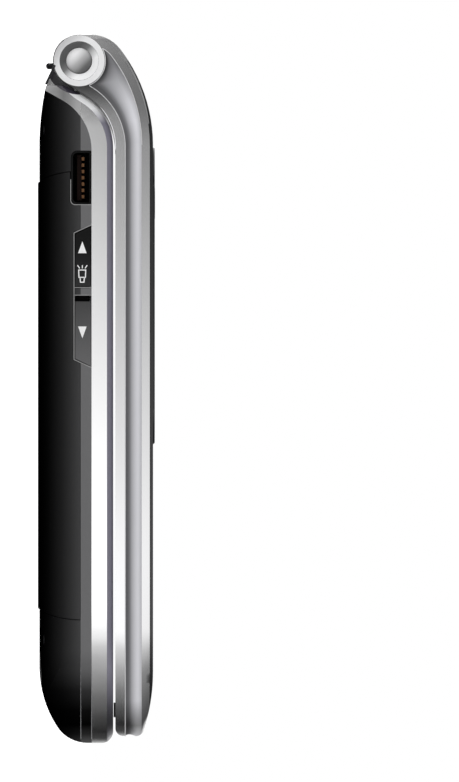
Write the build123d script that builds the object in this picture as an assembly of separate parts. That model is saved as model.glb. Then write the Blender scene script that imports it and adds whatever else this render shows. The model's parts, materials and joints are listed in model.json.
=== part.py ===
from build123d import *
import os
from math import cos, radians, sin, sqrt

# Clamshell phone, closed and lying on its back, in millimetres. X runs across the phone, Y towards
# the hinge and Z from the battery pack up to the outer window. The origin is under the middle.

# Overall size
LENGTH = 97.2
WIDTH = 48.6
THICKNESS = 16.0

# Clearances
FOLD_GAP = 0.3          # between the two closed halves and between knuckles
SLIDE_GAP = 0.15        # round the battery pack and its latch
KEY_GAP = 0.2           # round every key
FIT = 0.05              # between pieces that are fixed to each other
RUNNING_GAP = 0.05      # radial, round the hinge shaft and pin

# Base, heights above the table
BATTERY_PROUD = 0.2
BASE_HEIGHT = 10.3
SPLIT_HEIGHT = 7.35     # where the dark rear housing meets the bright front housing
PACK_HEIGHT = 5.85      # upper side edge of the battery pack
WIDEST_HEIGHT = 7.1     # where the round bottom end is longest

# Base outline seen from the side
HEEL_LENGTH = 10.9      # round bottom end, along Y
HEEL_RADIUS = 5.2
TOE_RADIUS = 1.8
SHOULDER_RADIUS = 8.0   # fold line, from the keypad face down to the hinge
FOLD_SLOPE = 30.0
BACK_CURVE_START = 15.1  # from the hinge end
BACK_CURVE_RADIUS = 37.0
NECK_WALL = 1.9         # bright housing under the hinge cradle
SPLIT_RADIUS = 7.9
EDGE_CHAMFER = 0.85

# Outline seen from the front
CORNER_RADIUS = 14.0
END_RADIUS = 60.0

# Hinge
BARREL_RADIUS = 3.6
HINGE_HEIGHT = 5.65
KNUCKLE_LENGTH = 27.6   # centre knuckle, on the base
CARTRIDGE_RADIUS = 2.5
CARTRIDGE_LENGTH = 11.7
SHAFT_RADIUS = 1.2
PIN_BORE = 1.5
PIN_OVERLAP = 7.8       # length of the hinge pin inside the centre knuckle
CAP_RADIUS = 1.75
CAP_DOME_RADIUS = 2.5
CAP_DEPTH = 3.0
RING_RADIUS = 2.65      # countersink round the hinge cap
RING_DEPTH = 0.6
FAIRING_REACH = 4.2     # lid material in the centre stays outside this radius
FAIRING_ANGLE = 14.0    # and below this angle, which clears the strap bar when the lid is open
FAIRING_SWEEP = 200.0   # turn of the wedge that is cut away
FAIRING_CORNERS = 5
FAIRING_START = 193.0   # where the base's fairing leaves the barrel, from +Z towards +Y
FAIRING_END = 262.0     # and where it meets the barrel again
FAIRING_ROOT = 1.1      # below the hinge
CARTRIDGE_END_WALL = 1.0
SHAFT_END_GAP = 2.2     # from the hinge shaft to the cartridge's inner end

# Lid
LID_SHORTER = 0.95      # at the bottom end
WINDOW_PROUD = 0.25
PLATE_THICKNESS = 0.45
BROW_LENGTH = 15.1      # round hinge end of the lid, along Y
BROW_HEIGHT = 8.45
BROW_RADIUS = 5.0
CHIN_LENGTH = 9.15
CHIN_HEIGHT = 2.45
CHIN_RADIUS = 1.2
LID_TOE_RADIUS = 1.3
RIM_HEIGHT = 1.35       # from the lid's inner face to its side groove
BEVEL_HEIGHT = 1.1
BEVEL_WIDTH = 2.0
GROOVE_DEPTH = 0.45
LID_WALL = 2.6
LID_LEDGE = 1.6
INNER_THICKNESS = 1.2
PLATE_END = 3.6         # the face plate stops this far before the hinge end

# Keypad stack, from the keypad face down
PANEL_RECESS = 0.15
PANEL_THICKNESS = 0.6
PANEL_MARGIN = 2.2
PANEL_END = 17.6        # from the hinge end
KEY_PROUD = 0.1
KEY_FOOT = 0.35
KEY_TRAVEL = 0.25
KEY_PLAY = 0.03
DOME_HEIGHT = 0.17
DOME_RADIUS = 2.0
DOME_SIDES = 8
SHEET_THICKNESS = 0.2
BOARD_THICKNESS = 1.0
BOARD_MARGIN = 3.6
BOARD_END = 23.6        # from the hinge end
CAN_HEIGHT = 0.85
CEILING = 0.8
CAVITY_MARGIN = 3.2
STRIP_WALL = 1.5

# Keys
KEY_SPACING = 0.4       # between the keys of one opening
CALL_SPACING = 1.2      # between the digits and the row above them
RING_SPACING = 2.0      # between the keys and the navigation ring
KEY_MARGIN = 2.4        # from the outer keys to the panel's sides
KEYPAD_MARGIN = 9.5     # from the lowest keys to the bottom end
KEY_CORNER = 1.6
SIDE_KEY_CHAMFER = 0.12
NAV_RING_RADIUS = 10.0
NAV_RING_BORE = 4.6
NAV_RING_DROP = 23.5    # from the upper end of the keypad panel
OK_RADIUS = 4.3
SOFT_KEY_HEIGHT = 5.6
SOFT_KEY_MARGIN = 1.1   # from the panel's side
SOFT_KEY_SPACING = 3.0  # from the navigation ring
SOFT_KEY_RISE = 6.0

# Battery pack
PACK_TOP = 20.6         # upper seam, from the hinge end
PACK_BOTTOM = 19.2      # lower seam, from the bottom end
SEAM_STRAIGHT = 15.0
SEAM_BEND = 24.0
PACK_WALL = 1.1
CELL_MARGIN = 6.1       # from the phone's side
CELL_PLAY = 0.25
CELL_TOP_GAP = 4.0      # from the upper seam
CELL_BOTTOM_GAP = 1.4   # from the lower seam
TERMINAL_WIDTH = 1.6
TERMINAL_LENGTH = 3.4
TERMINAL_PITCH = 3.0
TERMINAL_THICKNESS = 0.2
LATCH_WIDTH = 10.0
LATCH_LENGTH = 4.2
LATCH_THICKNESS = 1.4
LATCH_TRAVEL = 1.5
LATCH_FLANGE = 1.0
LATCH_LAND = 1.6        # from the upper seam
LATCH_DEPTH = 0.35      # set in from the table
LATCH_RIDGES = 4
LATCH_GROOVE = 0.3

# Side features, distances from the hinge end or heights above the table
SOCKET_Y = 19.55
SOCKET_LENGTH = 7.3
SOCKET_HEIGHT = 2.75
SOCKET_DEPTH = 6.5
SOCKET_WALL = 0.25
CONTACT_COUNT = 7
CONTACT_PITCH = 0.86
CONTACT_WIDTH = 0.45
CONTACT_HEIGHT = 0.35
JACK_Y = 19.3
JACK_HEIGHT = 5.04
JACK_BORE = 1.85
JACK_RADIUS = 2.45
JACK_RING_RADIUS = 3.2
JACK_RING_LENGTH = 2.8
JACK_DEPTH = 13.0
VOLUME_TOP = 26.1
VOLUME_BAR = 34.65
VOLUME_BOTTOM = 45.4
VOLUME_BAR_WIDTH = 1.0
VOLUME_SLOT = 0.8
VOLUME_HEIGHT = 2.25
VOLUME_SLANT = 1.1
VOLUME_THICKNESS = 1.3
VOLUME_TRAVEL = 0.3
SWITCH_THICKNESS = 0.8
SWITCH_LENGTH = 3.0
SWITCH_HEIGHT = 1.4
STRIP_THICKNESS = 0.2
LUG_WALL = 0.5
SOCKET_SET_BACK = 0.2
SOCKET_CORNER = 0.85
CONTACT_LENGTH = 4.6
CONTACT_RISE = 0.25
JACK_END_WALL = 1.0

# Inner pieces of the base
SPEAKER_Y = 7.2         # from the bottom end
SPEAKER_WIDTH = 14.0
SPEAKER_LENGTH = 7.4
SPEAKER_HEIGHT = 1.9
SPEAKER_THICKNESS = 3.0
SPEAKER_SLOTS = 5
SPEAKER_SLOT = 1.0
SPEAKER_SLOT_PITCH = 2.2
ANTENNA_Y = 2.2         # from the bottom end
ANTENNA_WIDTH = 24.0
ANTENNA_THICKNESS = 1.2
ANTENNA_HEIGHT = 2.6
MIC_X = 8.0
MIC_Y = 6.4             # from the bottom end
CAN_MARGIN = 8.3        # from the phone's side
CAN_SPACING = 10.3      # between the two cans
CAN_TOP_GAP = 6.5       # from the upper end of the board
CAN_BOTTOM_GAP = 12.8   # from the bottom end
FLEX_THICKNESS = 0.2

# Screws
SCREW_RADIUS = 0.8
SCREW_HEAD = 1.6
SCREW_HEAD_HEIGHT = 1.0
SCREW_DEPTH = 0.8       # head set in from the table
SCREW_MARGIN = 4.6      # from the phone's side
SCREW_TOP = 13.0        # from the hinge end
SCREW_BOTTOM = 14.5     # from the bottom end
BOSS_WALL = 1.0
LID_SCREW_MARGIN = 4.0
LID_SCREW_LENGTH = 4.0
LID_HEAD_DEPTH = 0.2

# Strap bar
STRAP_WIRE = 0.38
STRAP_LENGTH = 6.4
STRAP_RISE = 1.42       # above the table
STRAP_SET_IN = 3.92     # from the hinge end
STRAP_LEG = 1.2
STRAP_SLOT = 5.2
STRAP_SLOT_WIDTH = 2.2
STRAP_GAP = 0.9

# Windows, displays and other pieces of the lid
WINDOW_MARGIN = 7.3     # from the phone's side
WINDOW_TOP = 15.3       # from the hinge end
WINDOW_LOW = 41.2       # from the bottom end
WINDOW_CORNER = 5.0
WINDOW_THICKNESS = 0.8
INNER_WINDOW_MARGIN = 6.0  # from the phone's side
INNER_WINDOW_LOW = 12.0  # from the bottom end of the lid
INNER_WINDOW_TOP = 28.25  # from the hinge end
INNER_WINDOW_THICKNESS = 0.7
INNER_END = 17.0        # from the hinge end
INNER_DISPLAY_THICKNESS = 1.4
LID_BOARD_THICKNESS = 0.6
LID_BOARD_MARGIN = 1.3  # from the side of the inner window
OUTER_DISPLAY_THICKNESS = 1.15
OUTER_DISPLAY_MARGIN = 4.0  # from the side of the outer window
OUTER_DISPLAY_TOP = 15.7  # from the upper edge of the outer window
OUTER_DISPLAY_LOW = 3.0  # from the lower edge of the outer window
EARPIECE_Y = 6.0        # from the bottom end of the lid
EARPIECE_LENGTH = 10.0
EARPIECE_WIDTH = 4.0
EARPIECE_THICKNESS = 2.0
EARPIECE_SLOT = 6.0
EARPIECE_SLOT_WIDTH = 1.24
CAMERA_SIZE = 7.0
CAMERA_HEIGHT = 2.0
CAMERA_DROP = 7.5       # from the upper edge of the outer window
LENS_RADIUS = 2.6
BUMPER_X = 7.0
BUMPER_Y = 2.75         # from the bottom end of the lid
BUMPER_LENGTH = 5.0
BUMPER_WIDTH = 1.7
BUMPER_REACH = 0.24
BUMPER_SEAT = 0.8

# Worked-out places
half_width = WIDTH / 2
top_y = LENGTH / 2
bottom_y = -LENGTH / 2
hinge_y = top_y - BARREL_RADIUS
hinge_z = HINGE_HEIGHT
knuckle_end = KNUCKLE_LENGTH / 2
lid_knuckle_start = knuckle_end + FOLD_GAP
back_z = BATTERY_PROUD
lid_z = BASE_HEIGHT + FOLD_GAP
face_z = THICKNESS - WINDOW_PROUD
plate_z = face_z - PLATE_THICKNESS
lid_bottom_y = bottom_y + LID_SHORTER
normal_y = -cos(radians(FOLD_SLOPE))
normal_z = -sin(radians(FOLD_SLOPE))
cradle_radius = BARREL_RADIUS + FOLD_GAP
panel_top = BASE_HEIGHT - PANEL_RECESS
panel_z = panel_top - PANEL_THICKNESS
key_top = panel_top + KEY_PROUD
key_z = panel_z - KEY_FOOT
dome_top = key_z - KEY_TRAVEL - KEY_PLAY
sheet_top = dome_top - DOME_HEIGHT
board_top = sheet_top - SHEET_THICKNESS
board_z = board_top - BOARD_THICKNESS
can_z = board_z - CAN_HEIGHT
ceiling_top = can_z - FIT
ceiling_z = ceiling_top - CEILING
BIG = 200.0             # reach of a cut that runs right through
PAST = 1.0              # reach of a cut past the face that it starts from


# Helpers for outlines and plain bodies

def unit(a, b):
    """Unit vector along (a, b)."""
    size = sqrt(a * a + b * b)
    return (a / size, b / size)


def swing(centre, radius, start, end):
    """Arc about centre between two unit directions that are less than half a turn apart."""
    middle = unit(start[0] + end[0], start[1] + end[1])
    points = [(centre[0] + radius * d[0], centre[1] + radius * d[1]) for d in (start, middle, end)]
    return ThreePointArc(*points)


def quarter_oval(centre, length, height, radius, sy, sz):
    """Two tangent arcs from the long end (sy side) of a quarter oval to its flat side (sz side)."""
    large = ((length - radius) ** 2 + height ** 2 - radius ** 2) / (2 * (height - radius))
    small_centre = (centre[0] + sy * (length - radius), centre[1])
    large_centre = (centre[0], centre[1] + sz * (height - large))
    joint = unit(sy * (length - radius), sz * (large - height))
    return [swing(small_centre, radius, (sy, 0), joint), swing(large_centre, large, joint, (0, sz))]


def chain(*pieces):
    """Closed face through the given edges in order, with straight lines across the gaps."""
    edges = []
    for piece in pieces:
        if edges and (edges[-1] @ 1 - piece @ 0).length > 1e-6:
            edges.append(Line(edges[-1] @ 1, piece @ 0))
        edges.append(piece)
    if (edges[-1] @ 1 - edges[0] @ 0).length > 1e-6:
        edges.append(Line(edges[-1] @ 1, edges[0] @ 0))
    return make_face(edges)


def prism_x(face, x_from, x_to):
    """Solid with a (Y, Z) outline between two X values."""
    return Pos(x_from, 0, 0) * extrude(Plane.YZ * face, x_to - x_from)


def prism_z(face, z_from, z_to):
    """Solid with an (X, Y) outline between two heights."""
    return Pos(0, 0, z_from) * extrude(face, z_to - z_from)


def block(x_from, x_to, y_from, y_to, z_from, z_to):
    """Plain block between the given limits."""
    solid = Box(x_to - x_from, y_to - y_from, z_to - z_from)
    return Pos((x_from + x_to) / 2, (y_from + y_to) / 2, (z_from + z_to) / 2) * solid


def rod_x(radius, x_from, x_to, y, z):
    """Cylinder along X."""
    solid = Cylinder(radius, abs(x_to - x_from), rotation=(0, 90, 0))
    return Pos((x_from + x_to) / 2, y, z) * solid


def rod_z(radius, x, y, z_from, z_to):
    """Cylinder along Z."""
    return Pos(x, y, (z_from + z_to) / 2) * Cylinder(radius, z_to - z_from)


def rounded_block(x_from, x_to, y_from, y_to, z_from, z_to, radius):
    """Block between the given limits with its upright edges rounded."""
    face = Pos((x_from + x_to) / 2, (y_from + y_to) / 2) * RectangleRounded(x_to - x_from, y_to - y_from,
                                                                            radius)
    return prism_z(face, z_from, z_to)


def shoulder_centre(top, radius, reach):
    """Centre of the arc that touches height top and the sloping flat at reach from the hinge axis."""
    z = top - radius
    y = hinge_y + (reach + radius - normal_z * (z - hinge_z)) / normal_y
    return (y, z)


def polar(angle, radius):
    """(Y, Z) point about the hinge, with the angle turning from +Z towards +Y."""
    return (hinge_y + radius * sin(radians(angle)), hinge_z + radius * cos(radians(angle)))


# Outlines

def plan(end_y, inset=0.0, upper_y=None):
    """Front view outline: straight sides, large bottom corners, slightly arched bottom end."""
    side = half_width - inset
    corner = CORNER_RADIUS - inset
    end = END_RADIUS - inset
    end_centre_y = end_y + END_RADIUS
    corner_x = half_width - CORNER_RADIUS
    drop = sqrt((END_RADIUS - CORNER_RADIUS) ** 2 - corner_x ** 2)
    corner_y = end_centre_y - drop
    joint = unit(corner_x, -drop)
    upper = top_y - inset if upper_y is None else upper_y
    right = swing((corner_x, corner_y), corner, (1, 0), joint)
    bottom = swing((0, end_centre_y), end, joint, (-joint[0], joint[1]))
    left = swing((-corner_x, corner_y), corner, (-joint[0], joint[1]), (-1, 0))
    return chain(Line((side, upper), (side, corner_y)), right, bottom, left,
                 Line((-side, corner_y), (-side, upper)))


def fold_curve(top, radius, reach):
    """Fold line from the flat face round the shoulder to the hinge cradle."""
    centre = shoulder_centre(top, radius, reach)
    return swing(centre, radius, (0, 1), (-normal_y, -normal_z))


def base_side():
    """Side view outline of the base without its centre knuckle."""
    fold = fold_curve(BASE_HEIGHT, SHOULDER_RADIUS, cradle_radius)
    neck = (hinge_y + cradle_radius * normal_y, hinge_z + cradle_radius * normal_z)
    curve_y = top_y - BACK_CURVE_START
    curve_centre = (curve_y, back_z + BACK_CURVE_RADIUS)
    tip = (neck[0] - curve_y) / BACK_CURVE_RADIUS
    back = swing(curve_centre, BACK_CURVE_RADIUS, (tip, -sqrt(1 - tip * tip)), (0, -1))
    heel_centre = (bottom_y + HEEL_LENGTH, WIDEST_HEIGHT)
    heel = quarter_oval(heel_centre, HEEL_LENGTH, WIDEST_HEIGHT - back_z, HEEL_RADIUS, -1, -1)
    tip_arc, long_arc = heel
    toe = swing((bottom_y + TOE_RADIUS, BASE_HEIGHT - TOE_RADIUS), TOE_RADIUS, (-1, 0), (0, 1))
    return chain(fold, Line(neck, back @ 0), back,
                 ThreePointArc(long_arc @ 1, long_arc @ 0.5, long_arc @ 0),
                 ThreePointArc(tip_arc @ 1, tip_arc @ 0.5, tip_arc @ 0), toe)


def bright_region():
    """Side view region of the bright front housing, larger than the base outside it."""
    fold = fold_curve(SPLIT_HEIGHT, SPLIT_RADIUS, cradle_radius + NECK_WALL)
    far = (fold @ 1) + Vector(-normal_z, normal_y) * BASE_HEIGHT
    return chain(Line((-BIG, SPLIT_HEIGHT), fold @ 0), fold, Line(fold @ 1, far),
                 Line((BIG, far.Y), (BIG, BIG)), Line((BIG, BIG), (-BIG, BIG)))


def brow_arcs(inset):
    """Outer curve of the lid's hinge end, from its end to the flat face."""
    centre = (top_y - BROW_LENGTH, face_z - BROW_HEIGHT)
    return quarter_oval(centre, BROW_LENGTH - inset, BROW_HEIGHT - inset, BROW_RADIUS - inset, 1, 1)


def lid_side(outer_inset=0.0):
    """Side view outline of the lid with its knuckle; the outer skin may be set in."""
    fold = fold_curve(lid_z, SHOULDER_RADIUS + FOLD_GAP, BARREL_RADIUS)
    barrel = swing((hinge_y, hinge_z), BARREL_RADIUS, (normal_y, normal_z), (1, 0))
    brow = brow_arcs(outer_inset)
    chin_centre = (lid_bottom_y + CHIN_LENGTH, face_z - CHIN_HEIGHT)
    chin = quarter_oval(chin_centre, CHIN_LENGTH - outer_inset, CHIN_HEIGHT - outer_inset,
                        CHIN_RADIUS - outer_inset, -1, 1)
    toe_centre = (lid_bottom_y + LID_TOE_RADIUS, lid_z + LID_TOE_RADIUS)
    toe = swing(toe_centre, LID_TOE_RADIUS - outer_inset, (-1, 0), (0, -1))
    return chain(fold, barrel, brow[0], brow[1],
                 ThreePointArc(chin[1] @ 1, chin[1] @ 0.5, chin[1] @ 0),
                 ThreePointArc(chin[0] @ 1, chin[0] @ 0.5, chin[0] @ 0), toe)


def back_section(back, widest, inset=0.0):
    """End view outline with round back edges, from the back up to past the keypad face."""
    radius = widest - back
    side = half_width - inset
    left = swing((-half_width + radius, widest), radius - inset, (-1, 0), (0, -1))
    right = swing((half_width - radius, widest), radius - inset, (0, -1), (1, 0))
    return chain(left, right, Line((side, BIG), (-side, BIG)))


def pack_plan(gap=0.0):
    """Front view outline of the battery pack, whose seams bend outwards at the sides."""
    upper = top_y - PACK_TOP + gap
    lower = bottom_y + PACK_BOTTOM - gap
    wide = half_width + EDGE_CHAMFER
    swing_x = (wide - SEAM_STRAIGHT) / SEAM_BEND
    swing_y = sqrt(1 - swing_x * swing_x)
    up_right = swing((SEAM_STRAIGHT, upper + SEAM_BEND), SEAM_BEND, (0, -1), (swing_x, -swing_y))
    low_right = swing((SEAM_STRAIGHT, lower - SEAM_BEND), SEAM_BEND, (swing_x, swing_y), (0, 1))
    low_left = swing((-SEAM_STRAIGHT, lower - SEAM_BEND), SEAM_BEND, (0, 1), (-swing_x, swing_y))
    up_left = swing((-SEAM_STRAIGHT, upper + SEAM_BEND), SEAM_BEND, (-swing_x, -swing_y), (0, -1))
    return chain(up_right, low_right, low_left, up_left)


# Key places: five rows of three keys fill the keypad below the navigation ring

panel_side = half_width - PANEL_MARGIN
panel_end_y = top_y - PANEL_END
ring_y = panel_end_y - NAV_RING_DROP
keys_high = ring_y - NAV_RING_RADIUS - RING_SPACING
keys_low = bottom_y + KEYPAD_MARGIN
key_length = (2 * (panel_side - KEY_MARGIN) - 2 * KEY_SPACING) / 3
key_height = (keys_high - keys_low - CALL_SPACING - 3 * KEY_SPACING) / 5
column_pitch = key_length + KEY_SPACING
row_pitch = key_height + KEY_SPACING
call_row_y = keys_high - key_height / 2
soft_inner_x = NAV_RING_RADIUS + SOFT_KEY_SPACING
soft_length = panel_side - SOFT_KEY_MARGIN - soft_inner_x
soft_x = soft_inner_x + soft_length / 2
soft_y = ring_y + SOFT_KEY_RISE
key_names = ["1", "2", "3", "4", "5", "6", "7", "8", "9", "star", "0", "hash"]
key_places = []
for number, key_name in enumerate(key_names):
    row = 3 - number // 3
    key_places.append((f"key_{key_name}", (number % 3 - 1) * column_pitch,
                       keys_low + key_height / 2 + row * row_pitch))
for side, key_name in ((-1, "key_send"), (0, "key_clear"), (1, "key_end")):
    key_places.append((key_name, side * column_pitch, call_row_y))


def key_face(name, x, y, gap):
    """Front view outline of a key, grown by gap."""
    grown = 2 * gap
    if name.startswith("key_soft"):
        return Pos(x, y) * RectangleRounded(soft_length + grown, SOFT_KEY_HEIGHT + grown, KEY_CORNER + gap)
    if name == "nav_ring":
        return Pos(x, y) * (Circle(NAV_RING_RADIUS + gap) - Circle(NAV_RING_BORE - gap))
    if name == "key_ok":
        return Pos(x, y) * Circle(OK_RADIUS + gap)
    return Pos(x, y) * RectangleRounded(key_length + grown, key_height + grown, KEY_CORNER + gap)


key_places += [("key_soft_left", -soft_x, soft_y), ("key_soft_right", soft_x, soft_y),
               ("nav_ring", 0.0, ring_y), ("key_ok", 0.0, ring_y)]


# Side feature places

socket_y = top_y - SOCKET_Y
socket_z = SPLIT_HEIGHT - FIT - SOCKET_HEIGHT / 2
jack_y = top_y - JACK_Y
volume_z = SPLIT_HEIGHT - FIT - VOLUME_HEIGHT
screw_places = [(side * (half_width - SCREW_MARGIN), y) for side in (-1, 1)
                for y in (top_y - SCREW_TOP, bottom_y + SCREW_BOTTOM)]
lid_screw_places = [(side * (half_width - LID_SCREW_MARGIN), bottom_y + SCREW_BOTTOM)
                    for side in (-1, 1)]
lid_screw_top = lid_z + LID_HEAD_DEPTH + LID_SCREW_LENGTH
strap_y = top_y - STRAP_SET_IN
strap_z = STRAP_RISE
window_side = half_width - WINDOW_MARGIN
window_low_y = bottom_y + WINDOW_LOW
window_high_y = top_y - WINDOW_TOP
camera_y = window_high_y - CAMERA_DROP
earpiece_y = lid_bottom_y + EARPIECE_Y


def volume_face(upper, gap=0.0):
    """Side view outline of a volume key with its slanted outer end."""
    low = volume_z - gap
    high = volume_z + VOLUME_HEIGHT + gap
    if upper:
        inner = top_y - VOLUME_BAR + KEY_GAP - gap
        tip = top_y - VOLUME_TOP + gap
        slant = -VOLUME_SLANT
    else:
        inner = top_y - VOLUME_BAR - VOLUME_BAR_WIDTH - VOLUME_SLOT + gap
        tip = top_y - VOLUME_BOTTOM - gap
        slant = VOLUME_SLANT
    corners = [(inner, low), (inner, high), (tip, high), (tip + slant, low)]
    return make_face(Polyline(*corners, close=True))


def volume_pocket(upper):
    """Side view outline of the opening that a volume key moves in."""
    face = volume_face(upper, KEY_GAP)
    if upper:
        return face
    inner = top_y - VOLUME_BAR - VOLUME_BAR_WIDTH - VOLUME_SLOT
    slot = Pos(inner + VOLUME_SLOT / 2, volume_z + VOLUME_HEIGHT / 2)
    return face + slot * Rectangle(VOLUME_SLOT, VOLUME_HEIGHT + 2 * KEY_GAP)


def volume_opening():
    """Side view outline of the opening round both volume keys and the bar between them."""
    low, high = volume_z - KEY_GAP, volume_z + VOLUME_HEIGHT + KEY_GAP
    upper, lower = top_y - VOLUME_TOP + KEY_GAP, top_y - VOLUME_BOTTOM - KEY_GAP
    corners = [(lower, high), (upper, high), (upper - VOLUME_SLANT, low), (lower + VOLUME_SLANT, low)]
    return make_face(Polyline(*corners, close=True))


# Lugs that carry the side features down behind the battery pack's side walls

def side_lugs(gap=0.0):
    """Blocks of rear housing behind the pack's side walls, for the keys, connector and socket."""
    reach = LUG_WALL + gap
    room = extrude(Plane.XZ * back_section(0, PACK_HEIGHT, PACK_WALL + SLIDE_GAP - gap), LENGTH, both=True)
    key_inner = -half_width + VOLUME_THICKNESS + VOLUME_TRAVEL + SWITCH_THICKNESS
    volume = block(-BIG, key_inner + reach, top_y - VOLUME_BOTTOM - reach, top_y - VOLUME_TOP + reach,
                   volume_z - reach, BASE_HEIGHT)
    socket = block(-BIG, -half_width + SOCKET_DEPTH + reach, socket_y - SOCKET_LENGTH / 2 - reach,
                   top_y, socket_z - SOCKET_HEIGHT / 2 - reach, BASE_HEIGHT)
    jack = block(half_width - JACK_DEPTH - LUG_WALL - reach, BIG, jack_y - JACK_RADIUS - reach,
                 top_y, JACK_HEIGHT - JACK_RADIUS - reach, BASE_HEIGHT)
    bar = block(-BIG, -half_width + VOLUME_THICKNESS, top_y - VOLUME_BAR - VOLUME_BAR_WIDTH,
                top_y - VOLUME_BAR, volume_z, BASE_HEIGHT)
    return ((volume + socket + jack) & room) + bar


def side_openings():
    """Openings that the side features need in the pack's side walls."""
    key_back = -half_width + VOLUME_THICKNESS + VOLUME_TRAVEL + SWITCH_THICKNESS
    keys = prism_x(volume_opening(), -BIG, key_back)
    ring = rod_x(JACK_RING_RADIUS + SLIDE_GAP, half_width - JACK_RING_LENGTH - SLIDE_GAP, BIG,
                 jack_y, JACK_HEIGHT)
    return keys + socket_block(SLIDE_GAP) + ring


# Blanks

def fold_bevel():
    """Material outside the bevel that follows the fold line along the sides of the base."""
    inner_x = half_width - EDGE_CHAMFER
    faces = []
    for x, inset in ((inner_x, 0), (half_width, EDGE_CHAMFER)):
        fold = fold_curve(BASE_HEIGHT - inset, SHOULDER_RADIUS - inset, cradle_radius + inset)
        far = (fold @ 1) + Vector(-normal_z, normal_y) * BASE_HEIGHT
        region = chain(Line((-BIG, BASE_HEIGHT - inset), fold @ 0), fold, Line(fold @ 1, far),
                       Line((far.X, -BIG), (-BIG, -BIG)))
        faces.append(Pos(x, 0, 0) * (Plane.YZ * region))
    start_y = (fold @ 0).X
    tool = block(inner_x, half_width, start_y, top_y, 0, BASE_HEIGHT) - loft(faces, ruled=True)
    return tool + mirror(tool, Plane.YZ)


def base_blank():
    """Whole base between its side, front and end outlines."""
    side = prism_x(base_side(), -half_width, half_width)
    front = prism_z(plan(bottom_y), -PAST, BASE_HEIGHT)
    front = chamfer(front.faces().sort_by(Axis.Z)[-1].edges(), EDGE_CHAMFER)
    ends = extrude(Plane.XZ * back_section(back_z, PACK_HEIGHT), LENGTH, both=True)
    return (side & front & ends) - fold_bevel()


def bright_prism():
    return prism_x(bright_region(), -BIG, BIG)


def lid_blank():
    """Lid with its side bevels, before the centre of the hinge is cut away."""
    side = prism_x(lid_side(), -half_width, half_width)
    bevel_z = plate_z - BEVEL_HEIGHT
    wide = plan(lid_bottom_y)
    narrow = plan(lid_bottom_y, BEVEL_WIDTH)
    lower = prism_z(wide, hinge_z - 2 * BARREL_RADIUS, bevel_z)
    middle = loft([Pos(0, 0, bevel_z) * wide, Pos(0, 0, plate_z) * narrow], ruled=True)
    upper = prism_z(narrow, plate_z, face_z + PAST)
    return side & (lower + middle + upper)


base_body = base_blank()
bright = bright_prism()


# Pieces of the base

parts = {}
screw_top = board_top - KEY_PLAY
jack_start = half_width - JACK_DEPTH
ring_start = half_width - JACK_RING_LENGTH
key_inner_x = -half_width + VOLUME_THICKNESS
switch_x = key_inner_x + VOLUME_TRAVEL + KEY_PLAY
switch_back_x = key_inner_x + VOLUME_TRAVEL + SWITCH_THICKNESS
board_end_y = top_y - BOARD_END
latch_y = top_y - PACK_TOP + LATCH_LAND
speaker_y = bottom_y + SPEAKER_Y


def rear_housing():
    """Dark shell: rounded back, side strips, bay ceiling and lugs for the side features."""
    body = base_body - bright
    body -= prism_z(pack_plan(SLIDE_GAP), -PAST, PACK_HEIGHT) - side_lugs()
    body -= prism_z(plan(bottom_y, STRIP_WALL, board_end_y + FOLD_GAP), ceiling_top, BASE_HEIGHT)
    body -= prism_x(volume_pocket(True), -BIG, switch_back_x)
    body -= prism_x(volume_pocket(False), -BIG, switch_back_x)
    body -= volume_strip(FIT)
    body -= socket_block(FIT)
    body -= rod_x(JACK_RADIUS + FIT, jack_start - FIT, ring_start + FIT, jack_y, JACK_HEIGHT)
    body -= rod_x(JACK_RING_RADIUS + FIT, ring_start, BIG, jack_y, JACK_HEIGHT)
    body -= speaker_block(FIT, ceiling_top + PAST)
    for place in range(SPEAKER_SLOTS):
        x = (place - (SPEAKER_SLOTS - 1) / 2) * SPEAKER_SLOT_PITCH
        body -= block(x - SPEAKER_SLOT / 2, x + SPEAKER_SLOT / 2, speaker_y + SPEAKER_SLOT,
                      speaker_y + SPEAKER_LENGTH - SPEAKER_SLOT, -PAST, SPEAKER_HEIGHT)
    body -= antenna_block(FIT, BASE_HEIGHT)
    for x, y in screw_places:
        body -= rod_z(SCREW_HEAD + FIT, x, y, 0, SCREW_DEPTH + SCREW_HEAD_HEIGHT)
        body -= rod_z(SCREW_RADIUS + FIT, x, y, 0, BASE_HEIGHT)
    body -= latch_slot()
    return body


def volume_strip(gap):
    """Thin circuit strip that carries the two volume switches."""
    return block(switch_back_x - STRIP_THICKNESS - gap, switch_back_x + gap,
                 top_y - VOLUME_BOTTOM + VOLUME_SLANT - gap, top_y - VOLUME_TOP - VOLUME_SLANT + gap,
                 volume_z + KEY_GAP - gap, volume_z + VOLUME_HEIGHT - KEY_GAP + gap)


def socket_block(gap):
    """Outer form of the connector shell, with its two lower edges rounded."""
    low = socket_z - SOCKET_HEIGHT / 2 - gap
    solid = block(-half_width + SOCKET_SET_BACK - gap * BIG, -half_width + SOCKET_DEPTH + gap,
                  socket_y - SOCKET_LENGTH / 2 - gap, socket_y + SOCKET_LENGTH / 2 + gap,
                  low, socket_z + SOCKET_HEIGHT / 2 + gap)
    lower = solid.edges().filter_by(Axis.X).sort_by(Axis.Z)[:2]
    return fillet(lower, SOCKET_CORNER + gap)


def speaker_block(gap, top):
    """Room of the loudspeaker, up to the given height."""
    return block(-SPEAKER_WIDTH / 2 - gap, SPEAKER_WIDTH / 2 + gap, speaker_y - gap,
                 speaker_y + SPEAKER_LENGTH + gap, SPEAKER_HEIGHT, top)


def antenna_block(gap, top):
    """Antenna carrier across the bottom end."""
    y = bottom_y + ANTENNA_Y
    return block(-ANTENNA_WIDTH / 2 - gap, ANTENNA_WIDTH / 2 + gap, y - gap,
                 y + ANTENNA_THICKNESS + gap, SPLIT_HEIGHT - ANTENNA_HEIGHT - gap, top)


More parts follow.
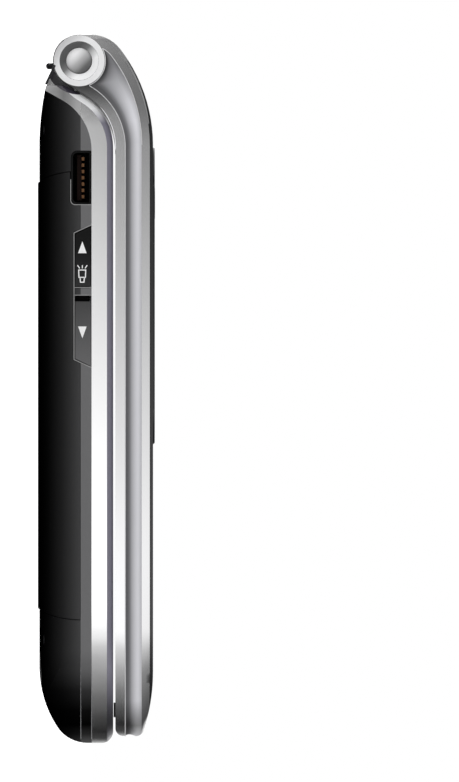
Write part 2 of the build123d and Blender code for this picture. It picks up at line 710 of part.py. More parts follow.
def latch_slot():
    """Slot for the battery latch, wider inside so that the latch cannot fall out."""
    mouth = block(-LATCH_WIDTH / 2 - SLIDE_GAP, LATCH_WIDTH / 2 + SLIDE_GAP, latch_y - SLIDE_GAP,
                  latch_y + LATCH_LENGTH + LATCH_TRAVEL + SLIDE_GAP, -PAST,
                  LATCH_DEPTH + LATCH_THICKNESS)
    wide = LATCH_WIDTH / 2 + LATCH_FLANGE + SLIDE_GAP
    inside = block(-wide, wide, latch_y - SLIDE_GAP,
                   latch_y + LATCH_LENGTH + LATCH_TRAVEL + SLIDE_GAP,
                   LATCH_DEPTH + LATCH_THICKNESS / 2 - SLIDE_GAP,
                   LATCH_DEPTH + LATCH_THICKNESS + SLIDE_GAP)
    return mouth + inside


def battery_latch():
    """Thumb slide with grip ridges and a flange on each side."""
    flange_z = LATCH_DEPTH + LATCH_THICKNESS / 2
    top = LATCH_DEPTH + LATCH_THICKNESS
    body = block(-LATCH_WIDTH / 2, LATCH_WIDTH / 2, latch_y, latch_y + LATCH_LENGTH,
                 LATCH_DEPTH, top)
    wide = LATCH_WIDTH / 2 + LATCH_FLANGE
    body += block(-wide, wide, latch_y, latch_y + LATCH_LENGTH, flange_z, top)
    for ridge in range(LATCH_RIDGES):
        y = latch_y + (ridge + 1) * LATCH_LENGTH / (LATCH_RIDGES + 1)
        body -= block(-LATCH_WIDTH / 2 + LATCH_FLANGE, LATCH_WIDTH / 2 - LATCH_FLANGE,
                      y - LATCH_GROOVE / 2, y + LATCH_GROOVE / 2, 0, LATCH_DEPTH + LATCH_GROOVE)
    return body


def centre_knuckle():
    """Hinge barrel in the middle of the base, with the fairing that runs down to the back."""
    barrel = rod_x(BARREL_RADIUS, -knuckle_end, knuckle_end, hinge_y, hinge_z)
    neck_y = hinge_y + cradle_radius * normal_y
    rise = BACK_CURVE_RADIUS - sqrt(BACK_CURVE_RADIUS ** 2 - (neck_y - top_y + BACK_CURVE_START) ** 2)
    corners = [polar(FAIRING_START, BARREL_RADIUS), (neck_y, back_z + rise),
               (neck_y - FOLD_GAP, back_z + rise + NECK_WALL / 2),
               (neck_y - NECK_WALL / 2, hinge_z - FAIRING_ROOT),
               polar(FAIRING_END, BARREL_RADIUS - RING_DEPTH)]
    fairing = prism_x(make_face(Polyline(*corners, close=True)), -knuckle_end, knuckle_end)
    return barrel + fairing


def strap_bar():
    """Round wire staple behind the hinge for a hand strap."""
    half = STRAP_LENGTH / 2
    wire = rod_x(STRAP_WIRE, -half, half, strap_y, strap_z)
    for side in (-1, 1):
        wire += rod_z(STRAP_WIRE, side * half, strap_y, strap_z, strap_z + STRAP_LEG)
        wire += Pos(side * half, strap_y, strap_z) * Sphere(STRAP_WIRE)
    return wire


def base_front_housing():
    """Bright shell: keypad frame, sloping hinge wall and centre knuckle."""
    body = base_body & bright
    body -= prism_z(plan(bottom_y, PANEL_MARGIN - FIT, panel_end_y + FIT), panel_z, BIG)
    body -= prism_z(plan(bottom_y, CAVITY_MARGIN, board_end_y + FOLD_GAP), 0, BASE_HEIGHT)
    for x, y in screw_places:
        if y < 0:
            body += rod_z(SCREW_RADIUS + BOSS_WALL, x, y, ceiling_top + FIT, board_top)
    for x, y in screw_places:
        body -= rod_z(SCREW_RADIUS + FIT, x, y, 0, screw_top + FIT)
    body -= rod_x(JACK_RADIUS + FIT, jack_start - FIT, ring_start + FIT, jack_y, JACK_HEIGHT)
    body += centre_knuckle()
    body -= rod_x(CARTRIDGE_RADIUS + FIT, -BIG / 2, BIG / 2, hinge_y, hinge_z)
    body -= block(-STRAP_SLOT / 2, STRAP_SLOT / 2, strap_y - STRAP_SLOT_WIDTH / 2,
                  strap_y + STRAP_SLOT_WIDTH / 2, 0, strap_z + STRAP_WIRE + STRAP_GAP)
    for side in (-1, 1):
        body -= rod_z(STRAP_WIRE + FIT, side * STRAP_LENGTH / 2, strap_y, 0,
                      strap_z + STRAP_LEG + FIT)
    return body


def keypad_panel():
    """Face plate with openings for the digits, the row above them, each soft key and the ring."""
    body = prism_z(plan(bottom_y, PANEL_MARGIN, panel_end_y), panel_z, panel_top)
    side = panel_side - KEY_MARGIN + KEY_GAP
    call_low = keys_high - key_height
    for low, high in ((keys_low, call_low - CALL_SPACING), (call_low, keys_high)):
        body -= rounded_block(-side, side, low - KEY_GAP, high + KEY_GAP, panel_z - PAST,
                              panel_top + PAST, KEY_CORNER + KEY_GAP)
    for name, x, y in key_places:
        if name.startswith("key_soft"):
            body -= prism_z(key_face(name, x, y, KEY_GAP), panel_z - PAST, panel_top + PAST)
    body -= rod_z(NAV_RING_RADIUS + KEY_GAP, 0, ring_y, panel_z - PAST, panel_top + PAST)
    return body


def key(name, x, y):
    """One key cap."""
    return prism_z(key_face(name, x, y, 0), key_z, key_top)


def dome_places():
    """Centres of the snap domes: one under each key and four under the navigation ring."""
    places = [(x, y) for name, x, y in key_places if name != "nav_ring"]
    middle = (NAV_RING_RADIUS + NAV_RING_BORE) / 2
    return places + [(middle, ring_y), (-middle, ring_y), (0, ring_y + middle), (0, ring_y - middle)]


def board_plan():
    """Front view outline of the board and dome sheet, clear of the screw bosses."""
    face = plan(bottom_y, BOARD_MARGIN, board_end_y)
    for x, y in screw_places:
        face -= Pos(x, y) * Circle(SCREW_RADIUS + BOSS_WALL + KEY_GAP)
    return face


def dome_sheet():
    """Flexible sheet with its snap domes."""
    body = prism_z(board_plan(), board_top, sheet_top)
    for x, y in dome_places():
        body += prism_z(Pos(x, y) * RegularPolygon(DOME_RADIUS, DOME_SIDES), board_top, dome_top)
    return body


def shield_cans():
    """Two metal cans under the board."""
    side = half_width - CAN_MARGIN
    low = bottom_y + CAN_BOTTOM_GAP
    high = board_end_y - CAN_TOP_GAP
    length = (high - low - CAN_SPACING) / 2
    return [rounded_block(-side, side, y, y + length, can_z, board_z, KEY_CORNER)
            for y in (low, high - length)]


def connector_shell():
    """Box of the multi-pin connector, open to the side."""
    body = socket_block(0)
    inner = block(-BIG, -half_width + SOCKET_DEPTH - SOCKET_WALL,
                  socket_y - SOCKET_LENGTH / 2 + SOCKET_WALL, socket_y + SOCKET_LENGTH / 2 - SOCKET_WALL,
                  socket_z - SOCKET_HEIGHT / 2 + SOCKET_WALL, socket_z + SOCKET_HEIGHT / 2 - SOCKET_WALL)
    lower = inner.edges().filter_by(Axis.X).sort_by(Axis.Z)[:2]
    return body - fillet(lower, SOCKET_CORNER - SOCKET_WALL)


def connector_contacts():
    """Row of flat contacts that stand on the back wall of the connector."""
    back_x = -half_width + SOCKET_DEPTH - SOCKET_WALL
    contacts = []
    for place in range(CONTACT_COUNT):
        y = socket_y + (place - (CONTACT_COUNT - 1) / 2) * CONTACT_PITCH
        contacts.append(block(back_x - CONTACT_LENGTH, back_x, y - CONTACT_WIDTH / 2,
                              y + CONTACT_WIDTH / 2, socket_z + CONTACT_RISE - CONTACT_HEIGHT / 2,
                              socket_z + CONTACT_RISE + CONTACT_HEIGHT / 2))
    return contacts


def jack_body():
    """Barrel of the headset socket with its blind bore."""
    body = rod_x(JACK_RADIUS, jack_start, ring_start, jack_y, JACK_HEIGHT)
    return body - rod_x(JACK_BORE, jack_start + JACK_END_WALL, half_width, jack_y, JACK_HEIGHT)


def jack_ring():
    """Raised ring round the socket, cut flat under the bright housing."""
    body = rod_x(JACK_RING_RADIUS, ring_start + FIT, half_width, jack_y, JACK_HEIGHT)
    body -= rod_x(JACK_BORE, ring_start, BIG, jack_y, JACK_HEIGHT)
    return body - block(0, BIG, 0, BIG, SPLIT_HEIGHT - FIT, BIG)


def volume_key(upper):
    """Side key that travels into the housing."""
    body = prism_x(volume_face(upper), -half_width, key_inner_x)
    return chamfer(body.faces().sort_by(Axis.X)[0].edges(), SIDE_KEY_CHAMFER)


def volume_switches():
    """Circuit strip with one switch behind each volume key."""
    body = volume_strip(0)
    middle = volume_z + VOLUME_HEIGHT / 2
    for y in (top_y - (VOLUME_TOP + VOLUME_BAR) / 2,
              top_y - (VOLUME_BAR + VOLUME_BAR_WIDTH + VOLUME_SLOT + VOLUME_BOTTOM) / 2):
        body += block(switch_x, switch_back_x - STRIP_THICKNESS, y - SWITCH_LENGTH / 2,
                      y + SWITCH_LENGTH / 2, middle - SWITCH_HEIGHT / 2, middle + SWITCH_HEIGHT / 2)
    return body


def base_screws():
    """Four screws from the back into the front housing."""
    head_top = SCREW_DEPTH + SCREW_HEAD_HEIGHT
    screws = []
    for x, y in screw_places:
        head = rod_z(SCREW_HEAD, x, y, SCREW_DEPTH, head_top - FIT)
        screws.append(head + rod_z(SCREW_RADIUS, x, y, SCREW_DEPTH, screw_top))
    return screws


# Battery pack

def battery_cover():
    """Outer skin of the battery pack, proud of the back, open round the side features."""
    section = extrude(Plane.XZ * back_section(0, PACK_HEIGHT), LENGTH, both=True)
    body = section & prism_z(pack_plan(), 0, PACK_HEIGHT - FIT)
    hollow = extrude(Plane.XZ * back_section(0, PACK_HEIGHT, PACK_WALL), LENGTH, both=True)
    body -= hollow & prism_z(pack_plan(-PACK_WALL), 0, PACK_HEIGHT)
    return body - side_lugs(SLIDE_GAP) - side_openings()


cell_low_y = bottom_y + PACK_BOTTOM + CELL_BOTTOM_GAP
cell_high_y = top_y - PACK_TOP - CELL_TOP_GAP
cell_top = ceiling_z - CELL_PLAY


def terminal_boxes(thickness, length_gap, low, side_gap=0.0):
    """Three flat contacts across the top end of the cell."""
    boxes = []
    for place in (-1, 0, 1):
        x = place * TERMINAL_PITCH
        y = cell_high_y - TERMINAL_LENGTH / 2 - TERMINAL_WIDTH
        boxes.append(block(x - TERMINAL_WIDTH / 2 - side_gap, x + TERMINAL_WIDTH / 2 + side_gap,
                           y - TERMINAL_LENGTH / 2 + length_gap, y + TERMINAL_LENGTH / 2 - length_gap,
                           low, low + thickness))
    return boxes


def battery_cell():
    """Flat cell that lies in the cover."""
    side = half_width - CELL_MARGIN
    body = rounded_block(-side, side, cell_low_y, cell_high_y, PACK_WALL, cell_top, KEY_CORNER)
    for box in terminal_boxes(TERMINAL_THICKNESS, 0, cell_top - TERMINAL_THICKNESS):
        body -= box
    return body


# Hinge

def hinge_cartridge():
    """Sealed detent unit in the centre knuckle, with the bore for its shaft."""
    start = -knuckle_end + FIT
    body = rod_x(CARTRIDGE_RADIUS, start, start + CARTRIDGE_LENGTH, hinge_y, hinge_z)
    return body - rod_x(SHAFT_RADIUS + RUNNING_GAP, -BIG / 2,
                        start + CARTRIDGE_LENGTH - CARTRIDGE_END_WALL, hinge_y, hinge_z)


def hinge_shaft():
    """Shaft that joins the left lid knuckle to the cartridge."""
    inner = -knuckle_end + CARTRIDGE_LENGTH - SHAFT_END_GAP
    return rod_x(SHAFT_RADIUS, -half_width + CAP_DEPTH + FIT, inner, hinge_y, hinge_z)


def hinge_pin():
    """Hollow pin of the right lid knuckle, with room for the cable."""
    body = rod_x(CARTRIDGE_RADIUS, knuckle_end - PIN_OVERLAP, half_width - CAP_DEPTH - FIT,
                 hinge_y, hinge_z)
    return body - rod_x(PIN_BORE, 0, BIG / 2, hinge_y, hinge_z)


def flex_cable():
    """Loop of flat cable between the halves, inside the centre knuckle."""
    start = -knuckle_end + CARTRIDGE_LENGTH + BOSS_WALL
    end = knuckle_end - PIN_OVERLAP - BOSS_WALL
    loop = rod_x(CARTRIDGE_RADIUS - FIT, start, end, hinge_y, hinge_z)
    loop -= rod_x(CARTRIDGE_RADIUS - FIT - FLEX_THICKNESS, start - PAST, end + PAST, hinge_y, hinge_z)
    return loop - block(start - PAST, end + PAST, hinge_y, BIG, hinge_z - SHAFT_RADIUS,
                        hinge_z + SHAFT_RADIUS)


def hinge_caps():
    """Domed caps in the two ends of the hinge."""
    rim = unit(CAP_RADIUS, sqrt(CAP_DOME_RADIUS ** 2 - CAP_RADIUS ** 2))
    dome = swing((0, CAP_DEPTH - CAP_DOME_RADIUS), CAP_DOME_RADIUS, rim, (0, 1))
    profile = chain(Line((0, 0), (CAP_RADIUS, 0)), dome)
    cap = revolve(Plane.XZ * profile, Axis.Z)
    return [Pos(side * (half_width - CAP_DEPTH), hinge_y, hinge_z) * Rot(0, 90 * side, 0) * cap
            for side in (-1, 1)]


# Lid

lid_stack = [lid_z + INNER_THICKNESS + FIT]
for layer in (INNER_DISPLAY_THICKNESS, LID_BOARD_THICKNESS, OUTER_DISPLAY_THICKNESS):
    lid_stack.append(lid_stack[-1] + layer + FIT)
window_z = THICKNESS - WINDOW_THICKNESS
inner_window_side = half_width - INNER_WINDOW_MARGIN
inner_window_low_y = lid_bottom_y + INNER_WINDOW_LOW
inner_window_high_y = top_y - INNER_WINDOW_TOP


def side_bevel():
    """Material outside the bevel that follows the round hinge end of the lid."""
    inner_x = half_width - BEVEL_WIDTH
    faces = []
    for x, inset in ((inner_x, PLATE_THICKNESS), (half_width, PLATE_THICKNESS + BEVEL_HEIGHT)):
        brow = brow_arcs(inset)
        end = brow[0] @ 0
        region = chain(Line((end.X, -BIG), end), brow[0], brow[1],
                       Line((-BIG, face_z - inset), (-BIG, -BIG)))
        faces.append(Pos(x, 0, 0) * (Plane.YZ * region))
    tool = block(inner_x, half_width, top_y - BROW_LENGTH, BIG, hinge_z, BIG / 2)
    tool -= loft(faces, ruled=True)
    tool -= rod_x(BARREL_RADIUS, 0, BIG / 2, hinge_y, hinge_z)
    return tool + mirror(tool, Plane.YZ)


def side_groove():
    """Shallow hollow along the lid's sides, round its bottom end and up to the hinge boss."""
    fold = fold_curve(lid_z + RIM_HEIGHT, SHOULDER_RADIUS + FOLD_GAP + RIM_HEIGHT,
                      BARREL_RADIUS - RIM_HEIGHT)
    inset = PLATE_THICKNESS + BEVEL_HEIGHT
    brow = brow_arcs(inset)
    low = lid_z + RIM_HEIGHT
    inside = (hinge_y + (BARREL_RADIUS - RIM_HEIGHT) * normal_y,
              hinge_z + (BARREL_RADIUS - RIM_HEIGHT) * normal_z)
    region = chain(fold, Line(inside, (hinge_y, hinge_z)), brow[0], brow[1],
                   Line((-BIG, face_z - inset), (-BIG, low)))
    region -= Pos(hinge_y, hinge_z) * Circle(BARREL_RADIUS)
    tool = prism_x(region, -half_width - PAST, half_width + PAST)
    return tool - prism_z(plan(lid_bottom_y, GROOVE_DEPTH, BIG), -BIG, BIG)


def plate_blank(gap):
    """Curved skin of the face plate; gap widens it for the frame's recess."""
    skin = prism_x(lid_side(), -half_width, half_width)
    skin -= prism_x(lid_side(PLATE_THICKNESS - FIT + gap), -half_width - PAST, half_width + PAST)
    outline = plan(lid_bottom_y, BEVEL_WIDTH - gap, top_y - PLATE_END + gap)
    return skin & prism_z(outline, lid_z + RIM_HEIGHT, BIG)


def lid_frame():
    """Bright frame of the lid: rim, side groove, bevel and the two outer knuckles."""
    body = lid_blank() - side_bevel() - side_groove()
    body -= plate_blank(FIT)
    turn = FAIRING_SWEEP / (FAIRING_CORNERS - 1)
    wedge = [(hinge_y, hinge_z)] + [polar(FAIRING_ANGLE + turn * step, BIG)
                                    for step in range(FAIRING_CORNERS)]
    centre = rod_x(FAIRING_REACH, -lid_knuckle_start, lid_knuckle_start, hinge_y, hinge_z)
    centre += prism_x(make_face(Polyline(*wedge, close=True)), -lid_knuckle_start, lid_knuckle_start)
    body -= centre
    body -= prism_z(plan(lid_bottom_y, LID_LEDGE, top_y - INNER_END), 0, lid_z + INNER_THICKNESS)
    body -= prism_z(plan(lid_bottom_y, LID_WALL, top_y - INNER_END - LID_LEDGE), 0, BIG)
    for x, y in lid_screw_places:
        body += rod_z(SCREW_RADIUS + BOSS_WALL, x, y, lid_z + INNER_THICKNESS + FIT, plate_z - FIT)
        body -= rod_z(SCREW_RADIUS + FIT, x, y, 0, lid_screw_top + FIT)
    body -= window_prism(FIT, window_z - FIT)
    for side in (-1, 1):
        cone = Cone(CAP_RADIUS + FIT, RING_RADIUS, RING_DEPTH, rotation=(0, 90 * side, 0))
        body -= Pos(side * (half_width - RING_DEPTH / 2), hinge_y, hinge_z) * cone
        body -= rod_x(CAP_RADIUS + FIT, side * (half_width - CAP_DEPTH - FIT), side * BIG / 2,
                      hinge_y, hinge_z)
    body -= rod_x(SHAFT_RADIUS + FIT, -half_width + CAP_DEPTH, 0, hinge_y, hinge_z)
    return body - rod_x(CARTRIDGE_RADIUS + FIT, 0, half_width - CAP_DEPTH, hinge_y, hinge_z)


def window_prism(gap, low):
    """Outer window, grown by gap."""
    return rounded_block(-window_side - gap, window_side + gap, window_low_y - gap, window_high_y + gap,
                         low, THICKNESS, WINDOW_CORNER + gap)


def outer_window():
    """Raised glossy window with a bevelled edge."""
    body = window_prism(0, window_z)
    return chamfer(body.faces().sort_by(Axis.Z)[-1].edges(), WINDOW_PROUD / 2)


def inner_window_prism(gap, low, high):
    """Inner window, grown by gap."""
    return rounded_block(-inner_window_side - gap, inner_window_side + gap, inner_window_low_y - gap,
                         inner_window_high_y + gap, low, high, KEY_CORNER + gap)


def lid_inner_housing():
    """Dark inner face of the lid round the inner window."""
    high = lid_z + INNER_THICKNESS
    body = prism_z(plan(lid_bottom_y, LID_LEDGE + FIT, top_y - INNER_END - FIT), lid_z, high)
    body -= inner_window_prism(FIT, 0, lid_z + INNER_WINDOW_THICKNESS + FIT)
    body -= inner_window_prism(-BOSS_WALL, 0, BIG)
    body -= prism_z(Pos(0, earpiece_y) * SlotOverall(EARPIECE_SLOT, EARPIECE_SLOT_WIDTH), 0, BIG)
    for x, y in lid_screw_places:
        body -= rod_z(SCREW_HEAD + FIT, x, y, 0, lid_z + LID_HEAD_DEPTH + SCREW_HEAD_HEIGHT / 2 + FIT)
        body -= rod_z(SCREW_RADIUS + FIT, x, y, 0, BIG)
    for bumper in bumper_blocks(FIT, 0):
        body -= bumper
    return body


def bumper_blocks(gap, low):
    """Two soft stops near the bottom end of the lid."""
    high = lid_z + BUMPER_SEAT + gap
    y = lid_bottom_y + BUMPER_Y
    return [block(side * BUMPER_X - BUMPER_LENGTH / 2 - gap, side * BUMPER_X + BUMPER_LENGTH / 2 + gap,
                  y - gap, y + BUMPER_WIDTH + gap, low, high) for side in (-1, 1)]


def lid_screws():
    """Two screws from the inner face of the lid into the frame."""
    screws = []
    head_low = lid_z + LID_HEAD_DEPTH
    for x, y in lid_screw_places:
        head = rod_z(SCREW_HEAD, x, y, head_low, head_low + SCREW_HEAD_HEIGHT / 2)
        screws.append(head + rod_z(SCREW_RADIUS, x, y, head_low, lid_screw_top))
    return screws


def camera_module():
    """Square camera body with its round lens barrel behind the window."""
    low = lid_stack[0] + FIT
    middle = low + CAMERA_HEIGHT
    body = block(-CAMERA_SIZE / 2, CAMERA_SIZE / 2, camera_y - CAMERA_SIZE / 2,
                 camera_y + CAMERA_SIZE / 2, low, middle)
    body += rod_z(LENS_RADIUS, 0, camera_y, low, window_z - FIT)
    return body - rod_z(LENS_RADIUS / 2, 0, camera_y, middle, window_z)


parts["rear_housing"] = rear_housing()
parts["base_front_housing"] = base_front_housing()
parts["keypad_panel"] = keypad_panel()
for key_name, key_x, key_y in key_places:
    parts[key_name] = key(key_name, key_x, key_y)
parts["dome_sheet"] = dome_sheet()
parts["main_board"] = prism_z(board_plan(), board_z, board_top)
parts["shield_cans"] = shield_cans()
parts["loudspeaker"] = speaker_block(0, SPEAKER_HEIGHT + SPEAKER_THICKNESS)
parts["microphone"] = rod_z(DOME_RADIUS, MIC_X, bottom_y + MIC_Y, can_z, board_z)
parts["antenna"] = antenna_block(0, SPLIT_HEIGHT - FIT)
parts["connector_shell"] = connector_shell()
parts["connector_contacts"] = connector_contacts()
parts["jack_body"] = jack_body()
parts["jack_ring"] = jack_ring()
parts["volume_up_key"] = volume_key(True)
parts["volume_down_key"] = volume_key(False)
parts["volume_switches"] = volume_switches()
parts["base_screws"] = base_screws()
parts["strap_bar"] = strap_bar()
parts["battery_contacts"] = terminal_boxes(CELL_PLAY - FIT, FIT, ceiling_z - CELL_PLAY + FIT)
parts["battery_cover"] = battery_cover()
parts["battery_cell"] = battery_cell()
parts["battery_terminals"] = terminal_boxes(TERMINAL_THICKNESS, 0, cell_top - TERMINAL_THICKNESS)
parts["battery_latch"] = battery_latch()
parts["hinge_cartridge"] = hinge_cartridge()
parts["hinge_shaft"] = hinge_shaft()
parts["hinge_pin"] = hinge_pin()
parts["flex_cable"] = flex_cable()
parts["hinge_caps"] = hinge_caps()
parts["lid_frame"] = lid_frame()
parts["lid_face_plate"] = plate_blank(0) - window_prism(FIT, 0)
parts["outer_window"] = outer_window()
parts["outer_display"] = block(-window_side + OUTER_DISPLAY_MARGIN, window_side - OUTER_DISPLAY_MARGIN,
                               window_low_y + OUTER_DISPLAY_LOW, window_high_y - OUTER_DISPLAY_TOP,
                               lid_stack[2], lid_stack[2] + OUTER_DISPLAY_THICKNESS)
parts["camera_module"] = camera_module()
parts["lid_inner_housing"] = lid_inner_housing()
parts["inner_window"] = inner_window_prism(0, lid_z, lid_z + INNER_WINDOW_THICKNESS)
parts["inner_display"] = inner_window_prism(-FIT, lid_stack[0], lid_stack[0] + INNER_DISPLAY_THICKNESS)
parts["earpiece"] = rounded_block(-EARPIECE_LENGTH / 2, EARPIECE_LENGTH / 2,
                                  earpiece_y - EARPIECE_WIDTH / 2, earpiece_y + EARPIECE_WIDTH / 2,
                                  lid_stack[0] - FIT, lid_stack[0] + EARPIECE_THICKNESS, KEY_CORNER)
parts["lid_bumpers"] = bumper_blocks(0, lid_z - BUMPER_REACH)
parts["lid_board"] = rounded_block(-inner_window_side + LID_BOARD_MARGIN,
                                   inner_window_side - LID_BOARD_MARGIN, inner_window_low_y,
                                   inner_window_high_y, lid_stack[1],
                                   lid_stack[1] + LID_BOARD_THICKNESS, KEY_CORNER)
parts["lid_screws"] = lid_screws()

os.makedirs("parts", exist_ok=True)
for part_name, shape in parts.items():
    solids = shape if isinstance(shape, list) else [shape]
    export_step(Compound(children=solids) if len(solids) > 1 else solids[0], f"parts/{part_name}.step")
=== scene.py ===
"""Picture of a closed clamshell phone lying on its back, seen square onto its left side.

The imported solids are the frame. Every solid is dressed by a smooth-shaded copy, and fine forms that
the solids leave plain are surfaces worked out with numpy. Sizes are in millimetres up to the moment
that they enter a mesh, and every object sits at the origin with its place in its mesh.
"""
import json

import bmesh
import bpy
import numpy as np
from mathutils import Matrix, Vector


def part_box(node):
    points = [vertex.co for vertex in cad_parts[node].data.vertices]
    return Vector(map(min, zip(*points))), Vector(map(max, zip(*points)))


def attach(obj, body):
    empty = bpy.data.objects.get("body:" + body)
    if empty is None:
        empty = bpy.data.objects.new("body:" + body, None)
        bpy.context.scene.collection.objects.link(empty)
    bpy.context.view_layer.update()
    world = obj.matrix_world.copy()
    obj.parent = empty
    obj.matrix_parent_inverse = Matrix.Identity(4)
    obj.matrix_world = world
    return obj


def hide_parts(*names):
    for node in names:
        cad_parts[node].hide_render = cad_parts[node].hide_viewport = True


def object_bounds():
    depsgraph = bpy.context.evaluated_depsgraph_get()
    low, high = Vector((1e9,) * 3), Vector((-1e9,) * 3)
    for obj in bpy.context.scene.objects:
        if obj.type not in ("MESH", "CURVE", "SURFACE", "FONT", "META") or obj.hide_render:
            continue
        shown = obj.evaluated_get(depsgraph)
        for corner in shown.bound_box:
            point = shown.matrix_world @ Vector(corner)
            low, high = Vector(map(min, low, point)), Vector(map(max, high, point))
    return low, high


MM = 0.001
MIRROR = np.array([-1, 1, 1])
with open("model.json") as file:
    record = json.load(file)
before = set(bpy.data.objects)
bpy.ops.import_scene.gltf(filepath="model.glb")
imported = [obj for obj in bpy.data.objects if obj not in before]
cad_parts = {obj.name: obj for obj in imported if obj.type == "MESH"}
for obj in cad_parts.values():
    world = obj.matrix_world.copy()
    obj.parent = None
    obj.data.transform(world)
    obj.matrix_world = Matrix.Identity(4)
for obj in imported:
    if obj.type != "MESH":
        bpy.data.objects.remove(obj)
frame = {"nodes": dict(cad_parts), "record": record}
nodes = frame["nodes"]
bodies = frame["record"]["behaviour"]["bodies"]
body_of_node = {node: body for body, members in bodies.items() for node in members}
cad_low, cad_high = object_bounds()


def corners(node):
    """Lowest and highest corner of a solid, in millimetres."""
    low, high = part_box(node)
    return np.array(low) / MM, np.array(high) / MM


def middle(node):
    """Centre of a solid's box, in millimetres."""
    low, high = corners(node)
    return (low + high) / 2


# Places taken from the frame
phone_low, phone_high = np.array(cad_low) / MM, np.array(cad_high) / MM
half_width = phone_high[0]
cap_x = corners("hinge_caps")[0][0]
_, hinge_y, hinge_z = middle("hinge_caps")
split_z = corners("rear_housing")[1][2]
base_z = corners("base_front_housing")[1][2]
lid_z = corners("lid_inner_housing")[0][2]
plate_z = corners("lid_face_plate")[1][2]
lid_end_y = corners("lid_frame")[0][1]

# Outline sizes of the housings
BARREL_RADIUS = 3.6
SLOPE = np.radians(30.0)
FOLD_RADIUS = 8.3       # lid side of the fold
RIM_HEIGHT = 1.35
PLATE_THICKNESS = 0.45
BEVEL_HEIGHT = 1.1
BEVEL_RUN = 2.0
BROW_LENGTH, BROW_HEIGHT, BROW_RADIUS = 15.1, 8.45, 5.0
CHIN_LENGTH, CHIN_HEIGHT, CHIN_RADIUS = 9.15, 2.45, 1.2
CORNER_RADIUS, END_RADIUS = 14.0, 60.0
PACK_HEIGHT = 5.85
SCREW_HEAD = 1.6

fold_z = lid_z - FOLD_RADIUS
fold_y = hinge_y - (BARREL_RADIUS + FOLD_RADIUS + np.sin(SLOPE) * (fold_z - hinge_z)) / np.cos(SLOPE)
groove_low = lid_z + RIM_HEIGHT
groove_high = plate_z - PLATE_THICKNESS - BEVEL_HEIGHT

# Camera: a long lens level with the fold gap, so that the white behind shows through it
IMAGE_WIDTH, IMAGE_HEIGHT = 459, 782
PIXEL = 0.137           # millimetres that a pixel covers at the phone
BACK_PIXEL = 38.0       # picture column of the phone's back
MIDDLE_ROW = 390.35     # picture row of the phone's middle
FOCUS_X = -16.0         # the depth at which PIXEL holds
LENS = 850.0
FILM = 36.0
CLIP_METRES = 20.0

# Studio
STUDIO_RADIUS = 220.0
STUDIO_STEPS = 64
STUDIO_LOW = -4         # elevation of the dome's edge
STUDIO_GAIN = 1.6
# Light of the card by the bearing seen from above: (degrees from -X towards -Y, share of the gain)
STUDIO_BEARINGS = [(-180, 0.62), (-172, 0.34), (-166, 0.22), (-158, 0.4), (-145, 0.6), (-42, 0.6),
                   (-26, 0.25), (-14, 0.13), (-10, 0.26), (-8, 0.33), (-5.8, 0.41), (-3.5, 0.48),
                   (-1.6, 0.56), (0.4, 0.64), (3.5, 0.76), (6.5, 0.94), (12, 0.97), (22, 0.81),
                   (31, 0.6), (51, 0.35), (73, 0.165), (100, 0.055), (131, 0.015), (150, 0.04),
                   (160, 0.3), (170, 0.8), (180, 0.62)]
DARK_TURN = 42.0        # the dark overhead patch leans this far from +Z towards -Y
DARK_START, DARK_END = 0.2, 0.55    # share of the radius towards the patch
HIGH_START, HIGH_END = 0.08, 0.35   # share of the radius upwards, below which no patch shows
OVERHEAD = 0.06
LAMP_SIZE = 400.0
WORLD_LAMP = 0.55       # the world's strength as a lamp
FLOOR_SIDE = 6000.0
FLOOR_DROP = 0.05       # keeps the floor clear of the phone's flat back
FLOOR_SEEN, FLOOR_MIRRORED = 0.88, 0.5

# Lid trim
BOWL_STEPS = 72
GROOVE_STEPS = 22
PLAN_STEPS = 20
GROOVE_DEPTH = 0.34
BOWL_DEPTH = 0.43
GROOVE_LEAN = 0.72      # under 1, the hollow is deepest near the rim
DEPTH_PER_WIDTH = 0.16
GROOVE_SHORT = 0.03
RIM_LINE = 0.055
FOLD_LINE = 0.075
SHARP_ANGLE = 28.0      # edges of a dressed solid above this stay sharp
LIP_STEPS = 40
LIP_START = 20          # bearing at which the lip starts on the brow's small arc
LIP_COVER = ([0, 0.45, 0.75, 1], [0.72, 0.6, 0.3, 0.0])    # along the lip, share of the plate's edge

# Hinge ends
RING_RADIUS = 2.65
RING_EDGE = 3.42
RING_ROUNDING = 0.14
SINK_ROUNDING = 0.07
SINK_RADIUS, SINK_DEPTH = 1.8, 0.6
CAP_RADIUS, CAP_DOME = 1.75, 2.5
PROUD = 0.012           # lifts thin trim off the solid behind it

# Side legends and small trim of the base
LEGEND_LIFT = 0.012
KEY_MIDDLE = 6.09       # height of the legends on the volume keys
ARROW_HALF, ARROW_TALL = 0.58, 1.62
BEZEL_SLANT, BEZEL_GAP, BEZEL_WIDE, BEZEL_DEEP, BEZEL_BAR = 1.1, 0.1, 0.1, 0.8, 0.95
SPRING_RISE, SPRING_HALF, SPRING_THICK = 1.55, 0.45, 0.06
SPRING_START, SPRING_END = 0.7, 4.5     # depth in the bore
STRAP_EDGE = 0.16
STRAP_TOP, STRAP_FOOT = (0.6, 2.35), (3.2, 1.1)     # behind the hinge axis, and height
GLINT_RADIUS = ([-46, -38, -34], [0.05, 0.035, 0.012])     # by Y

# Keypad legends, screens and camera
FIGURE_SIZE = 3.6
HANDSET_WIDTH = 4.4
CROSS_REACH, CROSS_HALF = 0.9, 0.17
SCREEN_EDGE = 2.4
INNER_CLOCK, OUTER_CLOCK = 7.5, 6.5
CAMERA_RING = [(2.3, -0.02), (2.22, 0.05), (2.05, 0.07), (1.9, 0.05), (1.85, 0.0)]
CAMERA_EDGE, CAMERA_DOME, CAMERA_RISE = 1.86, 4.0, 0.15

